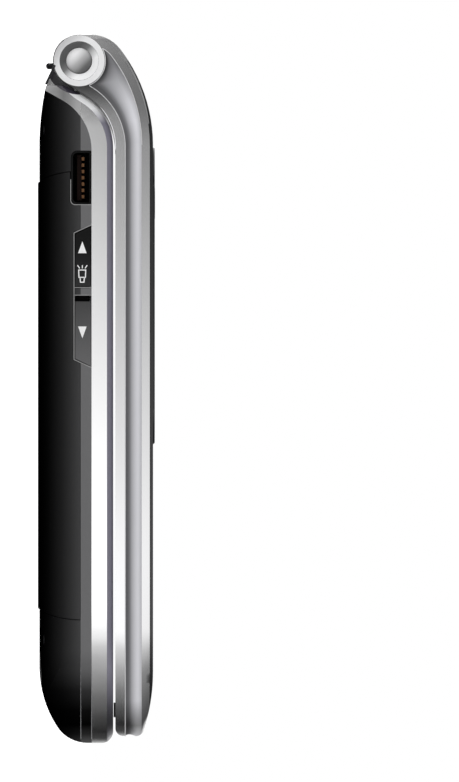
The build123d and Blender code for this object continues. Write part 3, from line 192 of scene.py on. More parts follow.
# Tones
# the lid's silver is the same metal as the base's, set darker as painted shade
SHADED_LID_SILVER = (0.66, 0.66, 0.665)
BASE_SILVER = (0.87, 0.87, 0.875)
# painted light: the base bevel's dark reflection with a purple-grey tint, the highlight on its lip, the
# shadow in the cradle
BEVEL_PAINTED_REFLECTION = (0.2, 0.194, 0.238)
LIP_PAINTED_HIGHLIGHT = (0.85, 0.85, 0.86)
CRADLE_PAINTED_SHADE = (0.045, 0.04, 0.055)
CRADLE_SHADE = 4.6      # radius of the painted shadow in the cradle about the hinge
CRADLE_INSIDE = 13.7    # the shade lies past this distance from the middle
BEVEL_DROP, BEVEL_END_Y = 0.84, -36     # where the base bevel's painted dark reflection lies
BEVEL_SQUEEZE = 0.06
CORNER_SQUEEZE = 0.6
# painted shade across the groove, from the rim to the bevel
GROOVE_PAINTED_SHADE_STOPS = [(0.0, 0.11), (0.05, 0.11), (0.17, 0.115), (0.29, 0.2), (0.41, 0.38), (0.54, 0.52),
                (0.66, 0.63), (0.78, 0.69), (0.9, 0.6), (1.0, 0.5)]
# painted shade up the shell's side, then the strip's own paler grey
SHELL_SHADE_AND_STRIP_STOPS = [(0.0, 0.0006), (0.10, 0.0012), (0.2, 0.004), (0.3, 0.0085), (0.45, 0.0165),
               (0.6, 0.031), (0.795, 0.055), (0.80, 0.15), (1.0, 0.15)]
FINE = 0.00002          # distance of the bump on every finish, in metres


# Shader maths

class Value:
    """A node's output socket that takes part in plain arithmetic."""

    def __init__(self, paint, socket):
        self.paint = paint
        self.socket = socket

    def maths(self, operation, *others):
        inputs = dict(enumerate((self, *others)))
        return self.paint.node("ShaderNodeMath", {"operation": operation}, inputs)

    def clamp(self):
        """The value kept between 0 and 1."""
        return self.maths("MAXIMUM", 0.0).maths("MINIMUM", 1.0)

    def __add__(self, other):
        return self.maths("ADD", other)

    def __sub__(self, other):
        return self.maths("SUBTRACT", other)

    def __rsub__(self, other):
        return self.paint.node("ShaderNodeMath", {"operation": "SUBTRACT"}, {0: other, 1: self})

    def __mul__(self, other):
        return self.maths("MULTIPLY", other)

    def __truediv__(self, other):
        return self.maths("DIVIDE", other)

    def __gt__(self, other):
        return self.maths("GREATER_THAN", other)

    def __lt__(self, other):
        return self.maths("LESS_THAN", other)

    def __abs__(self):
        return self.maths("ABSOLUTE")

    __radd__ = __add__
    __rmul__ = __mul__


class Nodes:
    """A node tree whose nodes are added by one method."""

    def __init__(self, owner):
        owner.use_nodes = True
        self.tree = owner.node_tree

    def feed(self, socket, value):
        """Links a value to a socket, or writes a constant there."""
        if isinstance(value, Value):
            self.tree.links.new(value.socket, socket)
        else:
            socket.default_value = value

    def node(self, kind, settings=None, inputs=None, output=0):
        """New node: its settings first, then the values or links of its sockets."""
        made = self.tree.nodes.new(kind)
        for name, value in (settings or {}).items():
            if name == "stops":
                set_stops(made.color_ramp, value)
            else:
                setattr(made, name, value)
        for key, value in (inputs or {}).items():
            self.feed(made.inputs[key], value)
        return Value(self, made.outputs[output])


class Paint(Nodes):
    """A material, with the forms that its nodes take here."""

    def __init__(self, name, base=None, **settings):
        self.material = bpy.data.materials.new(name)
        super().__init__(self.material)
        self.shader = self.tree.nodes["Principled BSDF"]
        if base is not None:
            self.set("Base Color", (*base, 1.0))
            self.material.diffuse_color = (*base, 1.0)
        for name, value in settings.items():
            self.set(name.replace("_", " ").title().replace("Ior", "IOR"), value)

    def set(self, name, value):
        self.feed(self.shader.inputs[name], value)

    def parts(self, vector):
        """The three numbers of a vector."""
        made = self.node("ShaderNodeSeparateXYZ", None, {0: vector}).socket.node
        return [Value(self, socket) for socket in made.outputs]

    def coordinates(self, kind):
        return self.node("ShaderNodeTexCoord", output=kind)

    def place(self):
        """Object coordinates in millimetres."""
        return [part / MM for part in self.parts(self.coordinates("Object"))]

    def noise(self, scale, detail=2.0):
        inputs = {"Vector": self.coordinates("Object"), "Scale": scale, "Detail": detail}
        return self.node("ShaderNodeTexNoise", None, inputs, "Fac")

    def ramp(self, value, stops):
        """Colour ramp over a 0 to 1 value."""
        return self.node("ShaderNodeValToRGB", {"stops": stops}, {0: value})

    def along(self, value, places, levels):
        """Grey level that follows a value through the given places."""
        places = np.asarray(places, float)
        share = (places - places[0]) / (places[-1] - places[0])
        return self.ramp((value - places[0]) / (places[-1] - places[0]), list(zip(share, levels)))

    def smoothstep(self, value, start, end):
        """0 to 1 as a value climbs from start to end."""
        return self.node("ShaderNodeMapRange", {"interpolation_type": "SMOOTHSTEP"},
                         {"Value": value, "From Min": start, "From Max": end})

    def bump(self, height, strength, **more):
        inputs = {"Height": height, "Strength": strength, "Distance": FINE, **more}
        self.set("Normal", self.node("ShaderNodeBump", None, inputs))

    def tint(self, level, colour):
        """Colour scaled by a grey level."""
        return self.node("ShaderNodeVectorMath", {"operation": "SCALE"}, {0: colour, "Scale": level})

    def mix(self, share, first, second):
        """Colour between two, by share."""
        colours = [value if isinstance(value, Value) else (*value, 1.0) for value in (first, second)]
        return self.node("ShaderNodeMix", {"data_type": "RGBA"},
                         {0: share, 6: colours[0], 7: colours[1]}, 2)


def set_stops(ramp, stops):
    """Gives a ramp its stops as (place, grey level) pairs."""
    while len(ramp.elements) > 1:
        ramp.elements.remove(ramp.elements[-1])
    for index, (place, level) in enumerate(stops):
        stop = ramp.elements[0] if index == 0 else ramp.elements.new(place)
        stop.position = place
        stop.color = (level, level, level, 1.0)


# Meshes

def add_object(name, data):
    """New object of the scene that holds some data."""
    made = bpy.data.objects.new(name, data)
    bpy.context.scene.collection.objects.link(made)
    return made


def add_mesh(name, points, faces, paint, smooth=True):
    """Mesh object from points in millimetres."""
    mesh = bpy.data.meshes.new(name)
    mesh.from_pydata((np.asarray(points, float) * MM).tolist(), [], [list(map(int, f)) for f in faces])
    mesh.polygons.foreach_set("use_smooth", [smooth] * len(mesh.polygons))
    mesh.materials.append(paint.material)
    return add_object(name, mesh)


def weld(mesh, distance=0.0005):
    """Merges corners that lie together, so that poles and seams are closed."""
    shape = bmesh.new()
    shape.from_mesh(mesh)
    bmesh.ops.remove_doubles(shape, verts=shape.verts, dist=distance * MM)
    shape.to_mesh(mesh)
    shape.free()


def grid_faces(rows, columns, wrap_rows=False, wrap_columns=False):
    """Quads of a grid of points that is numbered row by row."""
    i = np.arange(rows if wrap_rows else rows - 1)
    j = np.arange(columns if wrap_columns else columns - 1)
    i, j = (part.ravel() for part in np.meshgrid(i, j, indexing="ij"))
    next_i, next_j = (i + 1) % rows, (j + 1) % columns
    return np.stack([i * columns + j, next_i * columns + j, next_i * columns + next_j,
                     i * columns + next_j], -1)


def add_grid(name, points, paint, wrap_rows=False):
    """Surface through a grid of points."""
    faces = grid_faces(*points.shape[:2], wrap_rows)
    return add_mesh(name, points.reshape(-1, 3), faces, paint)


def join_meshes(parts):
    """Points and faces of several (points, faces) pairs as one pair."""
    points, faces, count = [], [], 0
    for some_points, some_faces in parts:
        points.append(np.asarray(some_points, float))
        faces += [[int(i) + count for i in face] for face in some_faces]
        count += len(some_points)
    return np.concatenate(points), faces


def wind(points, faces, axes, counter):
    """Turns flat faces to run counter-clockwise in the plane of two axes, or clockwise."""
    wound = []
    for face in faces:
        flat = points[list(face)][:, axes]
        after = np.roll(flat, -1, 0)
        area = (flat[:, 0] * after[:, 1] - after[:, 0] * flat[:, 1]).sum()
        wound.append(list(face) if (area > 0) == counter else list(face)[::-1])
    return points, wound


def facing_left(points, faces):
    """Turns flat faces on the left side so that they point towards -X."""
    return wind(points, faces, [1, 2], False)


def place_piece(piece, body):
    """Puts a new piece on a body."""
    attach(piece, body)
    return piece


def add_piece(name, mesh, paint, body, smooth=True):
    """Placed piece from a (points, faces) pair."""
    return place_piece(add_mesh(name, *mesh, paint, smooth), body)


def dress(node, paint):
    """Smooth-shaded copy of a solid, with its doubled corners merged, that stands for the solid."""
    mesh = nodes[node].data.copy()
    mesh.materials.clear()
    mesh.materials.append(paint.material)
    for name in ("custom_normal", "sharp_edge", "sharp_face"):
        if name in mesh.attributes:
            mesh.attributes.remove(mesh.attributes[name])
    weld(mesh, 0.002)
    mesh.polygons.foreach_set("material_index", [0] * len(mesh.polygons))
    mesh.polygons.foreach_set("use_smooth", [True] * len(mesh.polygons))
    mesh.set_sharp_from_angle(angle=np.radians(SHARP_ANGLE))
    piece = add_object(f"{node}_dressed", mesh)
    weigh = piece.modifiers.new("level_flats", "WEIGHTED_NORMAL")
    weigh.keep_sharp = True
    weigh.weight = 100
    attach(piece, body_of_node[node])
    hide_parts(node)


def tube(path, radius, sides=8):
    """Round bead along a path of points, with closed ends: p + r (u cos a + v sin a)."""
    path = np.asarray(path, float)
    ahead = np.gradient(path, axis=0)
    ahead /= np.linalg.norm(ahead, axis=1)[:, None]
    helper = np.array([0.0, 0.0, 1.0]) if abs(ahead[:, 2]).max() < 0.9 else np.array([1.0, 0.0, 0.0])
    first = np.cross(ahead, helper)
    first /= np.linalg.norm(first, axis=1)[:, None]
    second = np.cross(ahead, first)
    angle = np.linspace(0, 2 * np.pi, sides, endpoint=False)
    ring = (np.cos(angle)[None, :, None] * first[:, None]
            + np.sin(angle)[None, :, None] * second[:, None])
    radius = np.broadcast_to(radius, len(path))[:, None, None]
    points = (path[:, None] + radius * ring).reshape(-1, 3)
    faces = [list(face)[::-1] for face in grid_faces(len(path), sides, wrap_columns=True)]
    faces += [list(range(sides))[::-1], [len(path) * sides - sides + i for i in range(sides)]]
    return points, faces


def box_mesh(low, high):
    """Closed box with outward faces."""
    (x0, y0, z0), (x1, y1, z1) = low, high
    points = [(x, y, z) for x in (x0, x1) for y in (y0, y1) for z in (z0, z1)]
    faces = [(0, 1, 3, 2), (4, 6, 7, 5), (0, 4, 5, 1), (2, 3, 7, 6), (0, 2, 6, 4), (1, 5, 7, 3)]
    return np.array(points, float), faces


# Camera, floor, world, lamps and the reflected studio

def add_camera():
    """Camera that looks along +X with the hinge end up, turned a little from the gap's height."""
    data = bpy.data.cameras.new("side_camera")
    data.lens = LENS
    data.sensor_width = FILM
    data.clip_end = CLIP_METRES
    distance = LENS / FILM * IMAGE_HEIGHT * PIXEL
    camera = add_object("side_camera", data)
    y = (MIDDLE_ROW - IMAGE_HEIGHT / 2) * PIXEL
    middle_z = (IMAGE_WIDTH / 2 - BACK_PIXEL) * PIXEL
    gap_z = (base_z + lid_z) / 2
    turn = np.arctan2(middle_z - gap_z, distance)
    c, s = np.cos(turn), np.sin(turn)
    camera.matrix_world = Matrix([(-s, 0, -c, (FOCUS_X - distance) * MM), (0, 1, 0, y * MM),
                                  (c, 0, -s, gap_z * MM), (0, 0, 0, 1)])
    bpy.context.scene.camera = camera


def add_world():
    """White to the camera and in reflections, softer as a lamp."""
    world = bpy.data.worlds.new("studio_world")
    bpy.context.scene.world = world
    sky = Nodes(world)
    seen = sky.node("ShaderNodeLightPath", output="Is Camera Ray")
    for name in ("Is Glossy Ray", "Is Transmission Ray"):
        seen = seen.maths("MAXIMUM", sky.node("ShaderNodeLightPath", output=name))
    strength = sky.node("ShaderNodeMapRange", None,
                        {"Value": seen, "To Min": WORLD_LAMP, "To Max": 1.0})
    back = sky.tree.nodes["Background"]
    sky.feed(back.inputs["Color"], (1, 1, 1, 1))
    sky.feed(back.inputs["Strength"], strength)


def add_floor():
    """Pale floor that renders white to the camera, keeps a soft shadow and is clear from below."""
    paint = Paint("floor_white", (0.86, 0.86, 0.86), roughness=0.9, specular_ior_level=0.0)
    seen = paint.node("ShaderNodeLightPath", output="Is Camera Ray")
    mirrored = paint.node("ShaderNodeLightPath", output="Is Glossy Ray")
    glow = seen * FLOOR_SEEN + mirrored * FLOOR_MIRRORED
    paint.set("Emission Color", paint.tint(glow, (1, 1, 1)))
    paint.set("Emission Strength", 1.0)
    paint.set("Alpha", 1 - paint.node("ShaderNodeNewGeometry", output="Backfacing"))
    square = [(x * FLOOR_SIDE, y * FLOOR_SIDE, -FLOOR_DROP)
              for x, y in ((-1, -1), (1, -1), (1, 1), (-1, 1))]
    add_mesh("floor", square, [(0, 1, 2, 3)], paint)


def add_lamp(name, place, power):
    """Square soft lamp turned to the phone, which lights without showing in reflections."""
    data = bpy.data.lights.new(name, "AREA")
    data.size = LAMP_SIZE * MM
    data.energy = power
    lamp = add_object(name, data)
    offset = np.array(place, float) - (0, 0, phone_high[2] / 2)
    back = offset / np.linalg.norm(offset)
    side = np.cross((0.0, 1.0, 0.0), back)
    side /= np.linalg.norm(side)
    up = np.cross(back, side)
    rows = [(side[i], up[i], back[i], place[i] * MM) for i in range(3)]
    lamp.matrix_world = Matrix([*rows, (0, 0, 0, 1)])
    lamp.visible_glossy = False


def add_studio_dome():
    """Reflected dome over the phone, bright towards +Y and the sides, dark overhead and towards -Y.

    A point is R (-cos e cos a, -cos e sin a, sin e) with bearing a and elevation e. Its light comes
    from a ramp over the bearing, blended into an even level where the point's direction nears the
    dark one (0, -sin t, cos t).
    """
    bearing = np.radians(np.linspace(-180, 180, 2 * STUDIO_STEPS + 1))[:-1]
    rise = np.radians(np.linspace(STUDIO_LOW, 90, STUDIO_STEPS // 2 + 1))
    a, e = np.meshgrid(bearing, rise, indexing="ij")
    points = STUDIO_RADIUS * np.stack([-np.cos(e) * np.cos(a), -np.cos(e) * np.sin(a), np.sin(e)], -1)
    paint = Paint("studio_card")
    x, y, z = paint.place()
    around = (0 - y).maths("ARCTAN2", 0 - x) / (2 * np.pi) + 0.5
    card = paint.ramp(around, [(degrees / 360 + 0.5, level) for degrees, level in STUDIO_BEARINGS])
    turn = np.radians(DARK_TURN)
    toward = (z * np.cos(turn) - y * np.sin(turn)) / STUDIO_RADIUS
    dark = (paint.smoothstep(toward, DARK_START, DARK_END)
            * paint.smoothstep(z / STUDIO_RADIUS, HIGH_START, HIGH_END))
    light = card * (1 - dark) + dark * OVERHEAD
    emission = paint.node("ShaderNodeEmission", None, {"Strength": light * STUDIO_GAIN})
    paint.feed(paint.tree.nodes["Material Output"].inputs["Surface"], emission)
    dome = add_grid("studio_dome", points, paint, wrap_rows=True)
    weld(dome.data)
    for ray in ("camera", "diffuse", "shadow", "transmission", "volume_scatter"):
        setattr(dome, f"visible_{ray}", False)


# Curves of the lid seen from the side, as (Y, Z) points

def arc(centre, radius, start, end, count):
    """Points of an arc; angles in degrees from +Y towards +Z."""
    angle = np.radians(np.linspace(start, end, count))
    return np.stack([centre[0] + radius * np.cos(angle), centre[1] + radius * np.sin(angle)], -1)


def bearing_of(point, centre):
    """Angle of a point about a centre, in degrees from +Y towards +Z."""
    return np.degrees(np.arctan2(point[1] - centre[1], point[0] - centre[0]))


def spread(points, count):
    """Points at even steps along a line through the given points."""
    steps = np.concatenate([[0], np.cumsum(np.linalg.norm(np.diff(points, axis=0), axis=1))])
    where = np.linspace(0, steps[-1], count)
    return np.stack([np.interp(where, steps, points[:, axis]) for axis in range(points.shape[1])], -1)


def large_radius(length, height, small):
    """Radius of the arc that carries a small one on to the flat side of a quarter oval."""
    return ((length - small) ** 2 + height ** 2 - small ** 2) / (2 * (height - small))


def brow_circles(inset):
    """Centres, radii and joint angle of the two arcs round the lid's hinge end."""
    length, height, small = BROW_LENGTH - inset, BROW_HEIGHT - inset, BROW_RADIUS - inset
    large = large_radius(length, height, small)
    y, z = phone_high[1] - BROW_LENGTH, plate_z - BROW_HEIGHT
    joint = np.degrees(np.arctan2(large - height, length - small))
    return (y + length - small, z), small, (y, z + height - large), large, joint


def brow_line(inset, start, small_steps, large_steps):
    """Line round the hinge end, from a bearing about the small arc's centre to the straight."""
    small_centre, small, large_centre, large, joint = brow_circles(inset)
    return np.concatenate([arc(small_centre, small, start, joint, small_steps)[:-1],
                           arc(large_centre, large, joint, 90, large_steps)])


def chin_height(y):
    """Height of the lid's outer skin near its bottom end."""
    large = large_radius(CHIN_LENGTH, CHIN_HEIGHT, CHIN_RADIUS)
    back = np.clip(lid_end_y + CHIN_LENGTH - y, 0, CHIN_LENGTH)
    turn = (CHIN_LENGTH - CHIN_RADIUS) * large / (large - CHIN_RADIUS)
    low_z = plate_z - CHIN_HEIGHT
    wide = low_z + CHIN_HEIGHT - large + np.sqrt(np.maximum(large ** 2 - back ** 2, 0))
    over = back - CHIN_LENGTH + CHIN_RADIUS
    tight = low_z + np.sqrt(np.maximum(CHIN_RADIUS ** 2 - over ** 2, 0))
    return np.where(back < turn, wide, tight)


def lid_plan():
    """Lid outline from the left side's corner round the bottom end to the right side's corner.

    Returns points and outward normals in the XY plane: an arc of radius R about (-c, y1), one of the
    end radius about (0, y2), and the first one mirrored.
    """
    corner_x = half_width - CORNER_RADIUS
    drop = np.sqrt((END_RADIUS - CORNER_RADIUS) ** 2 - corner_x ** 2)
    end_y = lid_end_y + END_RADIUS
    joint = np.degrees(np.arctan2(drop, corner_x))
    points, normals = [], []
    for start, end, centre, radius in (
            (180, 180 + joint, (-corner_x, end_y - drop), CORNER_RADIUS),
            (180 + joint, 360 - joint, (0, end_y), END_RADIUS),
            (360 - joint, 360, (corner_x, end_y - drop), CORNER_RADIUS)):
        angles = np.radians(np.linspace(start, end, PLAN_STEPS))
        if radius == END_RADIUS:
            angles = angles[1:-1]
        normals.append(np.stack([np.cos(angles), np.sin(angles)], -1))
        points.append(np.array(centre) + radius * normals[-1])
    return np.concatenate(points), np.concatenate(normals)


# Groove and edges of the lid

def groove_lines():
    """Rim line and bevel line of the groove's bowl, from the tip beside the hinge to the straight."""
    inset = PLATE_THICKNESS + BEVEL_HEIGHT
    small_centre, small = brow_circles(inset)[:2]
    hinge = np.array([hinge_y, hinge_z])
    apart = np.array(small_centre) - hinge
    distance = np.linalg.norm(apart)
    ahead = (BARREL_RADIUS ** 2 - small ** 2 + distance ** 2) / (2 * distance)
    across = np.sqrt(BARREL_RADIUS ** 2 - ahead ** 2)
    tip = hinge + ahead * apart / distance + across * np.array([apart[1], -apart[0]]) / distance
    outer = brow_line(inset, bearing_of(tip, small_centre), BOWL_STEPS, BOWL_STEPS)
    reach = BARREL_RADIUS - RIM_HEIGHT
    foot = hinge - reach * np.array([np.cos(SLOPE), np.sin(SLOPE)])
    leave = foot + np.sqrt(BARREL_RADIUS ** 2 - reach ** 2) * np.array([-np.sin(SLOPE), np.cos(SLOPE)])
    inner = np.concatenate([
        arc(hinge, BARREL_RADIUS, bearing_of(tip, hinge), bearing_of(leave, hinge), BOWL_STEPS),
        arc((fold_y, fold_z), FOLD_RADIUS + RIM_HEIGHT, np.degrees(SLOPE), 90, BOWL_STEPS)])
    return spread(inner, BOWL_STEPS), spread(outer, BOWL_STEPS)


def groove_rows():
    """Inner points, outer points and outward normals all along the groove, from left to right."""
    inner, outer = groove_lines()
    normals = np.zeros((BOWL_STEPS, 3))
    normals[:, 0] = -1
    side = np.full((BOWL_STEPS, 1), -half_width)
    bowl = [np.concatenate([side, inner], 1), np.concatenate([side, outer], 1), normals]
    flat, flat_normals = lid_plan()
    low = np.column_stack([flat, np.full(len(flat), groove_low)])
    high = np.column_stack([flat, np.minimum(groove_high, chin_height(flat[:, 1]) - GROOVE_SHORT)])
    end = [low, high, np.column_stack([flat_normals, np.zeros(len(flat))])]
    mirrored = [part[::-1] * MIRROR for part in bowl]
    return [np.concatenate(parts) for parts in zip(bowl, end, mirrored)]


def add_groove(paint):
    """Hollow along the lid: each row runs from rim to bevel and sinks by 4 d s (1 - s), s = t^lean."""
    inner, outer, normals = groove_rows()
    t = np.linspace(0, 1, GROOVE_STEPS)
    s = t ** GROOVE_LEAN
    width = np.linalg.norm(outer - inner, axis=1)
    limit = np.where(inner[:, 1] > fold_y, BOWL_DEPTH, GROOVE_DEPTH)
    sink = np.minimum(limit, DEPTH_PER_WIDTH * width)[:, None] * 4 * s * (1 - s)
    points = (inner[:, None] * (1 - t[:, None]) + outer[:, None] * t[:, None]
              - normals[:, None] * sink[..., None])
    piece = add_grid("lid_groove_liner", points, paint)
    u, v = np.meshgrid(np.linspace(0, 1, len(points)), t, indexing="ij")
    loops = np.zeros(len(piece.data.loops), dtype=int)
    piece.data.loops.foreach_get("vertex_index", loops)
    layer = piece.data.uv_layers.new(name="grid")
    layer.data.foreach_set("uv", np.stack([u.ravel(), v.ravel()], -1)[loops].ravel())
    place_piece(piece, "lid")


def add_rim_lines(paint):
    """Fine pale beads along both edges of the groove, painted highlights."""
    inner, outer, _ = groove_rows()
    beads = [tube(line, RIM_LINE) for line in (inner, outer[:BOWL_STEPS], outer[-BOWL_STEPS:])]
    add_piece("lid_rim_lines", join_meshes(beads), paint, "lid")


def add_fold_line(paint):
    """White bead along the lid's edge at the bend of the fold: a painted highlight where light from
    behind shows through the gap.
    """
    line = arc((fold_y, fold_z), FOLD_RADIUS + 0.02, 44, 92, 40)
    path = np.column_stack([np.full(len(line), -half_width + 0.03), line])
    radius = FOLD_LINE * np.clip(np.linspace(0.15, 3, len(path)), 0, 1)
    pair = join_meshes([tube(path, radius), tube(path * MIRROR, radius)])
    add_piece("lid_fold_line", pair, paint, "lid")


def both_sides(name, points, paint, turned=True):
    """Lid trim from a grid on the left and its mirror on the right; a turned one closes on itself."""
    faces = grid_faces(*points.shape[:2], turned)
    if turned:
        faces = faces[:, ::-1]
    pair = join_meshes([(points.reshape(-1, 3), faces),
                        ((points * MIRROR).reshape(-1, 3), faces[:, ::-1])])
    piece = add_mesh(name, *pair, paint)
    weld(piece.data)
    place_piece(piece, "lid")


def add_brow_lip(paint):
    """Bright lip that covers part of the face plate's edge where the lid bends to the hinge."""
    inner, outer = (spread(brow_line(inset, LIP_START, 12, LIP_STEPS), LIP_STEPS)
                    for inset in (PLATE_THICKNESS - 0.02, 0))
    cover = np.interp(np.linspace(0, 1, LIP_STEPS), *LIP_COVER)
    outer = inner + (outer - inner) * cover[:, None]
    keep = (inner[:, 1] < plate_z - 0.6) & (inner[:, 0] < phone_high[1] - 2.6)
    x = np.full((LIP_STEPS, 2, 1), -half_width + BEVEL_RUN - 0.02)
    points = np.concatenate([x, np.stack([inner, outer], 1)], -1)[keep]
    both_sides("lid_brow_lip", points, paint, turned=False)


# Hinge ends

def lathe(profile, count=72):
    """Surface turned about the hinge axis on the left, from (radius, depth from the side) pairs."""
    radius, depth = np.asarray(profile, float).T
    angle = np.linspace(0, 2 * np.pi, count, endpoint=False)
    x = np.broadcast_to(-half_width + depth, (count, len(depth)))
    y = hinge_y + np.cos(angle)[:, None] * radius
    z = hinge_z + np.sin(angle)[:, None] * radius
    return np.stack([x, y, z], -1)


def add_hinge_rings(ring_paint, sink_paint, dome_paint):
    """Flat face with rounded edges, countersink and domed cap on each end of the hinge.

    The dome's depth is d + R - sqrt(R^2 - r^2) at radius r.
    """
    turn = np.radians(np.linspace(0, 90, 5))
    outer = [(RING_EDGE + RING_ROUNDING * np.sin(t), RING_ROUNDING * (1 - np.cos(t)) - PROUD)
             for t in turn[::-1]]
    inner = [(RING_RADIUS + SINK_ROUNDING * (1 - np.sin(t)), 0.05 * (1 - np.cos(t)) - PROUD)
             for t in turn]
    both_sides("hinge_ring_faces", lathe(outer + inner), ring_paint)
    share = np.linspace(0, 1, 9)
    sink = np.column_stack([RING_RADIUS + (SINK_RADIUS - RING_RADIUS) * share,
                            SINK_DEPTH * share - PROUD])
    both_sides("hinge_sink_faces", lathe(sink), sink_paint)
    radius = np.linspace(CAP_RADIUS, 0, 16)
    depth = half_width + cap_x + CAP_DOME - np.sqrt(CAP_DOME ** 2 - radius ** 2) - PROUD
    both_sides("hinge_dome_faces", lathe(np.column_stack([radius, depth])), dome_paint)


# Side legends and trim, drawn as (Y, Z) outlines on the left side

def side_face(points, x):
    """Flat polygon on the left side, from (Y, Z) corners."""
    return np.column_stack([np.full(len(points), x), points]), [list(range(len(points)))]


def stroke(points, width, x, closed=False):
    """Flat band of one width along (Y, Z) points, mitred at its bends."""
    points = np.asarray(points, float)
    after = np.roll(points, -1, 0) - points
    if not closed:
        after[-1] = after[-2]
    after /= np.linalg.norm(after, axis=1)[:, None]
    before = np.roll(after, 1, 0)
    if not closed:
        before[0] = after[0]
    normal = np.column_stack([-(after + before)[:, 1], (after + before)[:, 0]])
    normal /= np.linalg.norm(normal, axis=1)[:, None]
    share = np.abs((normal * np.column_stack([-after[:, 1], after[:, 0]])).sum(1))
    offset = normal * (width / 2 / np.maximum(share, 0.5))[:, None]
    flat = np.stack([points - offset, points + offset], 1).reshape(-1, 2)
    return np.column_stack([np.full(len(flat), x), flat]), grid_faces(len(points), 2, closed)


def add_side_legends(paint):
    """Triangles for louder and softer, and a small ringing handset."""
    x = -half_width - LEGEND_LIFT
    z = KEY_MIDDLE

    def arrow(tip, tall):
        return side_face([(tip, z), (tip + tall, z - ARROW_HALF), (tip + tall, z + ARROW_HALF)], x)

    tip = corners("volume_up_key")[1][1] - 2.15
    top = tip - ARROW_TALL - 2.3
    body = stroke([(top, z - 0.5), (top - 1.0, z - 0.46), (top - 1.0, z + 0.42), (top, z + 0.46)],
                  0.14, x, True)
    foot = stroke([(top - 1.0, z - 0.32), (top - 1.66, z - 0.26), (top - 1.66, z + 0.22),
                   (top - 1.0, z + 0.28)], 0.14, x)
    rays = [stroke([(top + 0.22, z + lean * 0.36), (top + 0.66, z + lean * 0.66)], 0.13, x)
            for lean in (-1, 0, 1)]
    louder = facing_left(*join_meshes([arrow(tip, -ARROW_TALL), body, foot, *rays]))
    add_piece("louder_legend", louder, paint, "volume_up_key_body", smooth=False)
    softer = facing_left(*arrow(corners("volume_down_key")[0][1] + 3.9, ARROW_TALL))
    add_piece("softer_legend", softer, paint, "volume_down_key_body", smooth=False)


def add_volume_bezel(paint):
    """Painted highlight: a thin light frame in the gap round the volume keys, with bars between them.
    """
    up_low, up_high = corners("volume_up_key")
    lower = corners("volume_down_key")[0][1] - BEZEL_GAP
    upper = up_high[1] + BEZEL_GAP
    low, high = up_low[2] - BEZEL_GAP, up_high[2] + BEZEL_GAP / 2
    line = [(lower, high), (lower + BEZEL_SLANT, low), (upper - BEZEL_SLANT, low), (upper, high)]
    x = -half_width - 0.01
    front = stroke(line, BEZEL_WIDE, x)
    deep = stroke(line, BEZEL_WIDE, x + BEZEL_DEEP)
    count = len(front[0])
    walls = []
    for i in range(0, count - 2, 2):
        walls.append([i, i + 2, count + i + 2, count + i])
        walls.append([i + 1, count + i + 1, count + i + 3, i + 3])
    bar = up_low[1] - BEZEL_GAP
    bars = [facing_left(*stroke([(y, low), (y, high)], 0.08, x))
            for y in (bar, bar - BEZEL_GAP - BEZEL_BAR)]
    mesh = join_meshes([facing_left(*front), (np.concatenate([front[0], deep[0]]), walls), *bars])
    add_piece("volume_edge_highlight", mesh, paint, "base", smooth=False)


def add_jack_springs(paint):
    """Contact springs above and below in the headset socket's bore."""
    _, y, z = middle("jack_ring")
    x = corners("jack_ring")[1][0]
    springs = [box_mesh((x - SPRING_END, y - SPRING_HALF, z + rise - SPRING_THICK),
                        (x - SPRING_START, y + SPRING_HALF, z + rise + SPRING_THICK))
               for rise in (-SPRING_RISE, SPRING_RISE)]
    add_piece("jack_springs", join_meshes(springs), paint, "base", smooth=False)


def add_strap_edge(paint):
    """Dark rounded edge between the strap bar and the black housing."""
    for name, x in (("strap_edge_left", 0.05 - half_width), ("strap_edge_right", half_width - 0.05)):
        top, foot = ((x, hinge_y - back, height) for back, height in (STRAP_TOP, STRAP_FOOT))
        path = np.linspace(top, foot, 8)
        add_piece(name, tube(path, STRAP_EDGE), paint, "base")


def add_seam_glints(paint):
    """Painted highlights on the edges of the base metal and of its strip, round the bottom corner on
    both sides.
    """
    flat, normals = lid_plan()
    keep = flat[:, 0] < -half_width * 0.35
    line = flat[keep] + np.array([0, phone_low[1] - lid_end_y]) - normals[keep] * 0.02
    beads = []
    for height in (split_z, PACK_HEIGHT + 0.02):
        path = np.column_stack([line, np.full(len(line), height)])
        radius = np.interp(path[:, 1], *GLINT_RADIUS)
        beads += [tube(path * np.array([side, 1, 1]), radius, 6) for side in (1, -1)]
    add_piece("seam_glints", join_meshes(beads), paint, "base")


def add_connector_outline(paint):
    """Painted highlight: a thin pale edge round the lower end of the connector's opening."""
    low, high = corners("connector_shell")
    bend = arc((low[1] + 0.55, low[2] + 0.55), 0.6, 180, 270, 8)
    line = np.concatenate([[(low[1] - 0.05, high[2])], bend, [(low[1] + 3.4, low[2] - 0.05)]])
    flat = facing_left(*stroke(line, 0.09, -half_width - PROUD))
    add_piece("connector_outline", flat, paint, "base", smooth=False)


def add_connector_tongue(paint):
    """Carrier that the contacts lie on."""
    low = corners("connector_contacts")[0]
    shell_low, shell_high = corners("connector_shell")
    box = box_mesh((low[0] + 0.35, shell_low[1] + 0.55, low[2] - 0.62),
                   (shell_high[0] - 0.3, shell_high[1] - 0.55, low[2] - 0.02))
    add_piece("connector_tongue", box, paint, "base", smooth=False)


# Legends on the keypad and pictures on the screens

def add_flat(name, shapes, height, paint, body, up=True):
    """Flat shapes, each a list of (x, y) corners, at one height, facing up or down."""
    pairs = [(np.column_stack([shape, np.full(len(shape), height)]), [range(len(shape))])
             for shape in shapes]
    add_piece(name, wind(*join_meshes(pairs), [0, 1], up), paint, body, smooth=False)


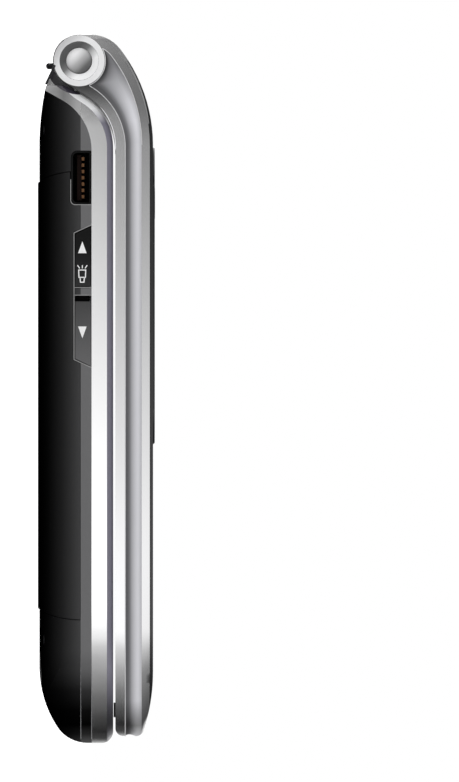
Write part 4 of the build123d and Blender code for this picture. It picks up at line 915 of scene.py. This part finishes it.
def add_text(name, letters, size, centre, height, paint, body, up=True):
    """Figures as a flat mesh; those facing down read with the lid's free end at their top."""
    curve = bpy.data.curves.new(name, "FONT")
    curve.body = letters
    curve.size = size
    curve.align_x, curve.align_y = "CENTER", "CENTER"
    curve.resolution_u = 3
    source = add_object(name, curve)
    mesh = bpy.data.meshes.new_from_object(source.evaluated_get(bpy.context.evaluated_depsgraph_get()))
    bpy.data.objects.remove(source)
    flat = np.zeros(len(mesh.vertices) * 3)
    mesh.vertices.foreach_get("co", flat)
    flat = flat.reshape(-1, 3)[:, :2] * (1, 1 if up else -1) + centre
    points = np.column_stack([flat, np.full(len(flat), height)])
    faces = [list(face.vertices) for face in mesh.polygons]
    add_piece(name, wind(points, faces, [0, 1], up), paint, body, smooth=False)


def handset(width):
    """Outline of a telephone handset as a bow with two ends."""
    angle = np.radians(np.linspace(20, 160, 15))
    bow, inner = (np.column_stack([reach * np.cos(angle), 0.6 * (rise * np.sin(angle) - 0.2)])
                  for reach, rise in ((0.5, 0.42), (0.36, 0.3)))
    ends = [rectangle((side * 0.3, -0.2), (side * 0.54, 0.02)) for side in (-1, 1)]
    return [np.array(shape) * width for shape in (np.concatenate([bow, inner[::-1]]), *ends)]


def triangle(centre, size, toward):
    """Triangle whose tip points in one direction."""
    turn = np.arctan2(toward[1], toward[0]) + np.radians((0, 125, 235))
    return np.array(centre) + size * np.column_stack([np.cos(turn), np.sin(turn)])


def rectangle(low, high):
    return [(low[0], low[1]), (high[0], low[1]), (high[0], high[1]), (low[0], high[1])]


def add_key_legends(ink, green, red):
    """Figures on the number keys and plain symbols on the others."""
    signs = {str(number): str(number) for number in range(10)}
    signs.update(star="*", hash="#")
    for key, sign in signs.items():
        x, y, _ = middle(f"key_{key}")
        drop = 0.5 if key == "star" else 0.0
        add_text(f"legend_{key}", sign, FIGURE_SIZE, (x, y - drop),
                 corners(f"key_{key}")[1][2] + LEGEND_LIFT, ink, f"key_{key}_body")
    low, high = corners("nav_ring")
    reach = (high[0] - low[0]) * 0.39
    arrows = [triangle(reach * np.array(way), 0.8, way) for way in ((1, 0), (-1, 0), (0, 1), (0, -1))]
    bar = [rectangle((-1.4, -0.2), (1.4, 0.2))]
    back = [triangle((-1.0, 0), 1.1, (-1, 0)), rectangle((-0.4, -0.22), (1.9, 0.22))]
    for key, shapes, paint in (("key_send", handset(HANDSET_WIDTH), green),
                               ("key_end", handset(HANDSET_WIDTH), red), ("key_clear", back, ink),
                               ("key_soft_left", bar, ink), ("key_soft_right", bar, ink),
                               ("nav_ring", arrows, ink),
                               ("key_ok", [rectangle((-0.7, -0.7), (0.7, 0.7))], ink)):
        centre = middle(key)[:2]
        add_flat(f"legend_{key.removeprefix('key_')}", [np.array(shape) + centre for shape in shapes],
                 corners(key)[1][2] + LEGEND_LIFT, paint, f"{key}_body")


def add_screens(picture, white, outer_white):
    """Picture, clock and two bars on the inner screen, and a clock on the outer one."""
    low, high = corners("inner_window")
    face = low[2] - LEGEND_LIFT
    place = rectangle(low[:2] + (SCREEN_EDGE, SCREEN_EDGE + 1), high[:2] - SCREEN_EDGE)
    add_flat("inner_picture", [place], face, picture, "lid", up=False)
    face -= LEGEND_LIFT
    add_text("inner_clock", "10:08", INNER_CLOCK, (0, low[1] + 18), face, white, "lid",
             up=False)
    top = low[1] + SCREEN_EDGE + 4.4
    bars = [rectangle((low[0] + 4 + 1.1 * i, top - 0.5 * (i + 1)), (low[0] + 4.7 + 1.1 * i, top))
            for i in range(4)]
    x = high[0] - 8.4
    cell = [rectangle((x + 1.3 * i, top - 1.7), (x + 1.3 * i + 1.0, top)) for i in range(3)]
    add_flat("inner_bars", bars + cell, face, white, "lid", up=False)
    _, y, _ = middle("outer_window")
    add_text("outer_clock", "10:08", OUTER_CLOCK, (0, y - 5),
             corners("outer_window")[1][2] + LEGEND_LIFT, outer_white, "lid")


def add_camera_ring(paint, glass):
    """Ring and lens of the camera on the outer window, turned about the camera's axis.

    The lens rises by k (sqrt(R^2 - r^2) - sqrt(R^2 - edge^2)) at radius r.
    """
    top = corners("outer_window")[1][2]
    _, y, _ = middle("camera_module")
    angle = np.linspace(0, 2 * np.pi, 48, endpoint=False)[:, None]

    def turned(radius, height):
        height = np.broadcast_to(height, (len(angle), len(radius)))
        return np.stack([radius * np.cos(angle), y + radius * np.sin(angle), top + height], -1)

    ring = turned(*np.array(CAMERA_RING).T)
    place_piece(add_grid("camera_ring", ring, paint, wrap_rows=True), "lid")
    radius = np.linspace(CAMERA_EDGE, 0, 10)
    rise = np.sqrt(CAMERA_DOME ** 2 - radius ** 2) - np.sqrt(CAMERA_DOME ** 2 - CAMERA_EDGE ** 2)
    piece = add_grid("camera_lens", turned(radius, 0.005 + rise * CAMERA_RISE), glass, wrap_rows=True)
    weld(piece.data)
    place_piece(piece, "lid")


def add_screw_crosses(paint):
    """Flat dark cross on the head of each screw, painted shade in place of the cross slot."""
    for node, body in (("base_screws", "base"), ("lid_screws", "lid")):
        low, high = corners(node)
        shapes = []
        for x in (low[0] + SCREW_HEAD, high[0] - SCREW_HEAD):
            for y in sorted({round(low[1] + SCREW_HEAD, 2), round(high[1] - SCREW_HEAD, 2)}):
                for a, b in ((CROSS_REACH, CROSS_HALF), (CROSS_HALF, CROSS_REACH)):
                    shapes.append(rectangle((x - a, y - b), (x + a, y + b)))
        add_flat(f"{body}_screw_crosses", shapes, low[2] - LEGEND_LIFT, paint, body, up=False)


# Materials

def plain(name, base, roughness=0.4, **settings):
    """Finish of one colour with a little unevenness in tone, shine and surface."""
    paint = Paint(name, base, **settings)
    grain = paint.noise(4000.0, 3.0)
    paint.set("Base Color", paint.tint(grain * 0.24 + 0.88, base))
    paint.set("Roughness", grain * 0.12 + (roughness - 0.06))
    paint.bump(grain, 0.04)
    return paint


def glowing(name, base, strength):
    """Lit part of a screen or key."""
    paint = plain(name, base, 0.3)
    paint.set("Emission Color", paint.tint(paint.noise(900.0) * 0.1 + 0.95, base))
    paint.set("Emission Strength", strength)
    return paint


def wallpaper():
    """Soft two-tone picture on the inner screen."""
    paint = Paint("screen_picture", roughness=0.15)
    x, y, _ = paint.place()
    share = (y / -70 + 0.35 + (x * 0.22).maths("SINE") * 0.06).clamp()
    paint.set("Base Color", (0.0, 0.0, 0.0, 1.0))
    paint.set("Emission Color", paint.mix(share, (0.04, 0.16, 0.42), (0.32, 0.6, 0.85)))
    paint.set("Emission Strength", 0.775)
    paint.set("Roughness", paint.noise(5000.0) * 0.05 + 0.1)
    return paint


def metal_paint(name, base):
    """Bright lacquered metal with a faint grain."""
    paint = Paint(name, base, metallic=1.0)
    grain = paint.noise(9000.0)
    paint.set("Roughness", grain * 0.04 + 0.1)
    paint.bump(grain, 0.01)
    return paint


def lid_silver_paint():
    """Lid metal with painted shade on the rim beside the hinge and a painted highlight low on the side
    at the top end, and its bevels shade as if they faced sideways.
    """
    paint = metal_paint("silver_lacquer", SHADED_LID_SILVER)
    _, y, z = paint.place()
    # painted shade: the rim darkens towards the hinge barrel (bend); painted highlight: top brightens
    # the side near the top end
    rim = z < (groove_low - (y - 38).maths("MAXIMUM", 0.0) * 0.85)
    bend = paint.along(y, (33, 36, 37.5, 39, 40.2, 41.5, 46), (1.0, 0.95, 0.85, 0.6, 0.35, 0.16, 0.12))
    top = (y - 48.0).maths("MAXIMUM", 0.0) * 3.0 * ((11.2 - z) / 1.5).clamp()
    paint.set("Base Color", paint.tint(rim * (bend - 1) + 1 + top, SHADED_LID_SILVER))
    normal = paint.coordinates("Normal")
    across, ahead, up = paint.parts(normal)
    corner = 1 - abs(up).maths("MINIMUM", CORNER_SQUEEZE)
    squeezed = paint.node("ShaderNodeCombineXYZ", None, {
        "X": across, "Y": (ahead * corner).maths("MINIMUM", ahead * BEVEL_SQUEEZE),
        "Z": up * BEVEL_SQUEEZE})
    bevel = (abs(across) * 5).maths("MINIMUM", 1.0)
    chosen = paint.node("ShaderNodeMix", {"data_type": "VECTOR"}, {0: bevel, 4: normal, 5: squeezed}, 1)
    turned = paint.node("ShaderNodeVectorTransform", {"vector_type": "NORMAL", "convert_from": "OBJECT",
                                                      "convert_to": "WORLD"}, {0: chosen})
    paint.bump(paint.noise(9000.0), 0.01, Normal=turned)
    return paint


def base_silver_paint():
    """Base metal with a painted reflection on its fold bevel, a painted lip highlight, and painted
    shade in the cradle, at the ends and low down.
    """
    paint = metal_paint("base_silver_painted_shade", BASE_SILVER)
    x, y, z = paint.place()
    across, _, up = paint.parts(paint.coordinates("Normal"))
    lean = abs(across)
    # mask of the bevel's painted dark reflection
    bevel = (lean > 0.3) * (lean < 0.9) * (up > 0.2) * (y > BEVEL_END_Y)
    bevel = bevel.maths("MAXIMUM", z > base_z - BEVEL_DROP) * (up < 0.95)
    out, rise = y - hinge_y, z - hinge_z
    # painted shadow in the cradle about the hinge barrel
    cradle = ((out * out + rise * rise) < CRADLE_SHADE ** 2) * (abs(x) > CRADLE_INSIDE)
    # painted shade: darker towards the bottom end and just below the hinge
    end = paint.along(y, (-48.6, -47.2, -35, -29.5, 36, 38, 41, 43, 48),
                      (0.6, 0.52, 0.52, 1, 1, 0.7, 0.6, 1, 1))
    # painted shade: darker low down, below the strip's height
    low = paint.along(z, (0, 3.5, 5.8, 5.9, 11), (0.9, 0.3, 0.45, 1, 1))
    # the bevel's painted reflection darkens towards the bottom corner, and lip sets its painted
    # highlight by the hinge
    line = paint.along(y, (-48.6, -45.8, -43.8, -41, -38, 48), (0.6, 0.05, 0.2, 0.6, 1, 1))
    lip = paint.along(y, (36.5, 38.5, 48), (0, 1, 1))
    edge = paint.mix(lip, paint.tint(line, BEVEL_PAINTED_REFLECTION), LIP_PAINTED_HIGHLIGHT)
    colour = paint.mix(bevel, paint.tint(end * low, BASE_SILVER), edge)
    paint.set("Base Color", paint.mix(cradle, colour, CRADLE_PAINTED_SHADE))
    paint.set("Metallic", 1 - bevel.maths("MAXIMUM", cradle))
    return paint


def slanted_paint(name, radius, stops):
    """Painted reflection on the hinge end: a plain tone that changes from its upper left to its lower
    right.
    """
    paint = Paint(name, metallic=0.0, roughness=0.4, specular_ior_level=0.3)
    _, y, z = paint.place()
    across = ((z - hinge_z) - (y - hinge_y)) / (2 * np.sqrt(2.0) * radius) + 0.5
    paint.set("Base Color", paint.tint(paint.ramp(across, stops), (1.0, 1.0, 1.01)))
    paint.set("Roughness", paint.noise(8000.0) * 0.06 + 0.34)
    return paint


def groove_paint():
    """Lavender-grey satin with painted shade and reflection: its tone climbs from the rim to the bevel,
    and sinks beside the hinge and near the bottom end.
    """
    paint = Paint("groove_painted_shade", metallic=0.0, roughness=0.4, specular_ior_level=0.15)
    _, v, _ = paint.parts(paint.coordinates("UV"))
    _, y, _ = paint.place()
    # painted shade across the groove, darkest by the rim; tip and end add painted shade beside the
    # hinge and near the bottom end
    tone = paint.ramp(v, GROOVE_PAINTED_SHADE_STOPS)
    tip = paint.along(y, (34, 37, 39.5, 42, 44.5, 47), (1.0, 1.12, 0.95, 0.62, 0.3, 0.17))
    end = paint.along(y, (-47.6, -47.0, -46.0, -44.0, -42.5), (0.6, 0.4, 0.1, 0.6, 1.0))
    paint.set("Base Color", paint.tint(tone * tip * end, (1.0, 1.0, 1.05)))
    paint.set("Roughness", paint.noise(7000.0) * 0.08 + 0.36)
    paint.bump(paint.noise(9000.0), 0.05)
    return paint


def shell_paint():
    """Black satin plastic with painted shade that darkens it from the strip towards the back and at its
    bottom end; the grey strip along its upper edge is its own colour.
    """
    paint = Paint("black_shell_plastic", (0.014, 0.014, 0.015), specular_ior_level=0.0)
    _, y, z = paint.place()
    down = paint.parts(paint.coordinates("Normal"))[2] < -0.985
    paint.set("Coat Weight", down * 0.4)
    paint.set("Coat Roughness", 0.35)
    # painted shade darkening the shell towards its back; the step to 0.15 is the strip's own grey
    level = paint.ramp(z / split_z, SHELL_SHADE_AND_STRIP_STOPS)
    # painted shade: darker round the bottom end
    end = paint.along(y, (-48.6, -47.2, -45.8, -43.8, -41.0, -38.4, -35.6),
                      (0.6, 0.14, 0.01, 0.03, 0.2, 0.7, 1.0))
    paint.set("Base Color", paint.tint(level * end, (1.0, 1.0, 1.02)))
    paint.set("Roughness", paint.noise(6000.0) * 0.1 + 0.35)
    paint.bump(paint.noise(9000.0, 3.0), 0.12)
    return paint


def volume_key_paint(name, base, shift, stops):
    """Plastic of a side key with a painted reflection: its tone changes from its upper end to its lower
    one.
    """
    paint = Paint(name, base, roughness=0.4, specular_ior_level=0.1)
    _, y, _ = paint.place()
    paint.set("Base Color", paint.tint(paint.ramp(y / -20 + shift, stops), (1, 1, 1.02)))
    paint.set("Roughness", paint.noise(5000.0) * 0.1 + 0.35)
    paint.bump(paint.noise(8000.0), 0.05)
    return paint


silver = lid_silver_paint()
base_silver = base_silver_paint()
groove_painted_shade = groove_paint()
# painted reflections on the ring, countersink and dome of each hinge end
satin = slanted_paint("satin_ring_painted_reflection", 3.6, [(0.0, 0.5), (0.12, 0.6), (0.3, 0.8), (1.0, 0.8)])
sink_metal = slanted_paint("countersink_painted_reflection", 2.65, [(0.0, 0.1), (0.25, 0.08), (0.42, 0.16),
                                                       (0.62, 0.7), (0.75, 1.0), (1.0, 1.0)])
polished = slanted_paint("dome_painted_reflection", 1.75, [(0.0, 1.0), (0.22, 0.9), (0.5, 0.45), (0.8, 0.14),
                                                  (1.0, 0.08)])
dark_steel = plain("dark_steel", (0.022, 0.022, 0.024), 0.5, specular_ior_level=0.15)
fold_highlight_paint = plain("edge_highlight", (0.8, 0.8, 0.82), 0.5)
glint = plain("seam_glint", (0.2, 0.2, 0.21), 0.5)
rim_highlight_paint = plain("rim_highlight", (0.6, 0.6, 0.61), 0.5)
black_shell = shell_paint()
black_gloss = plain("black_gloss_plastic", (0.008, 0.008, 0.009), 0.12)
black_matt = plain("black_moulded_plastic", (0.02, 0.02, 0.022), 0.5)
connector_black = plain("connector_plastic", (0.004, 0.004, 0.004), 0.6, specular_ior_level=0.1)
tongue_brown = plain("connector_tongue_plastic", (0.016, 0.009, 0.008), 0.6, specular_ior_level=0.03)
key_grey = plain("key_plastic", (0.055, 0.055, 0.06), 0.38)
ring_grey = plain("socket_ring_plastic", (0.12, 0.12, 0.12))
window = plain("window_glass", (0.006, 0.006, 0.008), 0.04)
rubber = plain("soft_rubber", (0.012, 0.012, 0.012), 0.7)
steel = plain("plain_steel", (0.6, 0.6, 0.61), 0.3, metallic=1.0)
gold = plain("gold_plating", (0.85, 0.6, 0.25), 0.25, metallic=1.0)
# connector contacts: gold darkened as painted shade inside the opening
shaded_gold = plain("dim_gold_plating", (0.16, 0.075, 0.03), 0.5, metallic=0.6)
green_board = plain("board_mask", (0.02, 0.12, 0.06))
amber_film = plain("amber_film", (0.35, 0.16, 0.04), 0.35)
legend = plain("legend_ink", (0.86, 0.86, 0.86), 0.6)
edge_highlight_grey = plain("painted_edge_highlight", (0.3, 0.3, 0.3), 0.5)
# the two keys are one plastic, painted near-black and grey as painted reflection
up_key = volume_key_paint("volume_up_plastic", (0.02, 0.02, 0.022), 1.15,
                          [(0.0, 0.003), (0.2, 0.005), (0.5, 0.03)])
down_key = volume_key_paint("volume_down_plastic", (0.06, 0.06, 0.062), 0.65,
                            [(0.0, 0.05), (0.5, 0.13)])
green_ink = glowing("send_ink", (0.08, 0.62, 0.2), 0.35)
red_ink = glowing("end_ink", (0.75, 0.05, 0.05), 0.35)
key_ink = glowing("key_ink", (0.8, 0.86, 0.95), 0.35)
screen_white = glowing("screen_white", (0.9, 0.95, 1.0), 0.8)
dim_white = glowing("outer_screen_white", (0.55, 0.7, 0.9), 0.45)
lens_glass = plain("camera_lens_glass", (0.01, 0.012, 0.03), 0.06)

finish_of = {
    "lid_frame": silver, "base_front_housing": base_silver, "hinge_caps": steel,
    "rear_housing": black_shell, "battery_cover": black_shell, "lid_face_plate": black_gloss,
    "outer_window": window, "inner_window": window, "jack_ring": ring_grey,
    "volume_up_key": up_key, "volume_down_key": down_key, "lid_bumpers": rubber,
    "strap_bar": dark_steel, "base_screws": dark_steel, "lid_screws": steel,
    "connector_shell": connector_black, "connector_contacts": shaded_gold, "battery_contacts": gold,
    "battery_terminals": gold, "shield_cans": steel, "hinge_cartridge": steel,
    "hinge_shaft": steel, "hinge_pin": steel, "main_board": green_board, "lid_board": green_board,
    "volume_switches": connector_black, "dome_sheet": rubber, "flex_cable": amber_film,
    "antenna": amber_film, "battery_cell": steel,
}
for node in nodes:
    other = key_grey if node.startswith(("key_", "nav_")) else black_matt
    dress(node, finish_of.get(node, other))

add_groove(groove_painted_shade)
add_rim_lines(rim_highlight_paint)
add_fold_line(fold_highlight_paint)
add_brow_lip(silver)
add_hinge_rings(satin, sink_metal, polished)
add_side_legends(legend)
add_volume_bezel(edge_highlight_grey)
add_connector_tongue(tongue_brown)
add_connector_outline(edge_highlight_grey)
add_strap_edge(dark_steel)
add_jack_springs(gold)
add_seam_glints(glint)
add_key_legends(key_ink, green_ink, red_ink)
add_screens(wallpaper(), screen_white, dim_white)
add_camera_ring(steel, lens_glass)
add_screw_crosses(black_matt)

add_camera()
add_world()
add_floor()
add_studio_dome()
add_lamp("side_lamp", (-500, 120, 420), 1.5)
add_lamp("other_side_lamp", (500, 120, 420), 1.5)
add_lamp("front_lamp", (0, -500, 500), 1.0)
bpy.context.scene.view_settings.view_transform = "Standard"
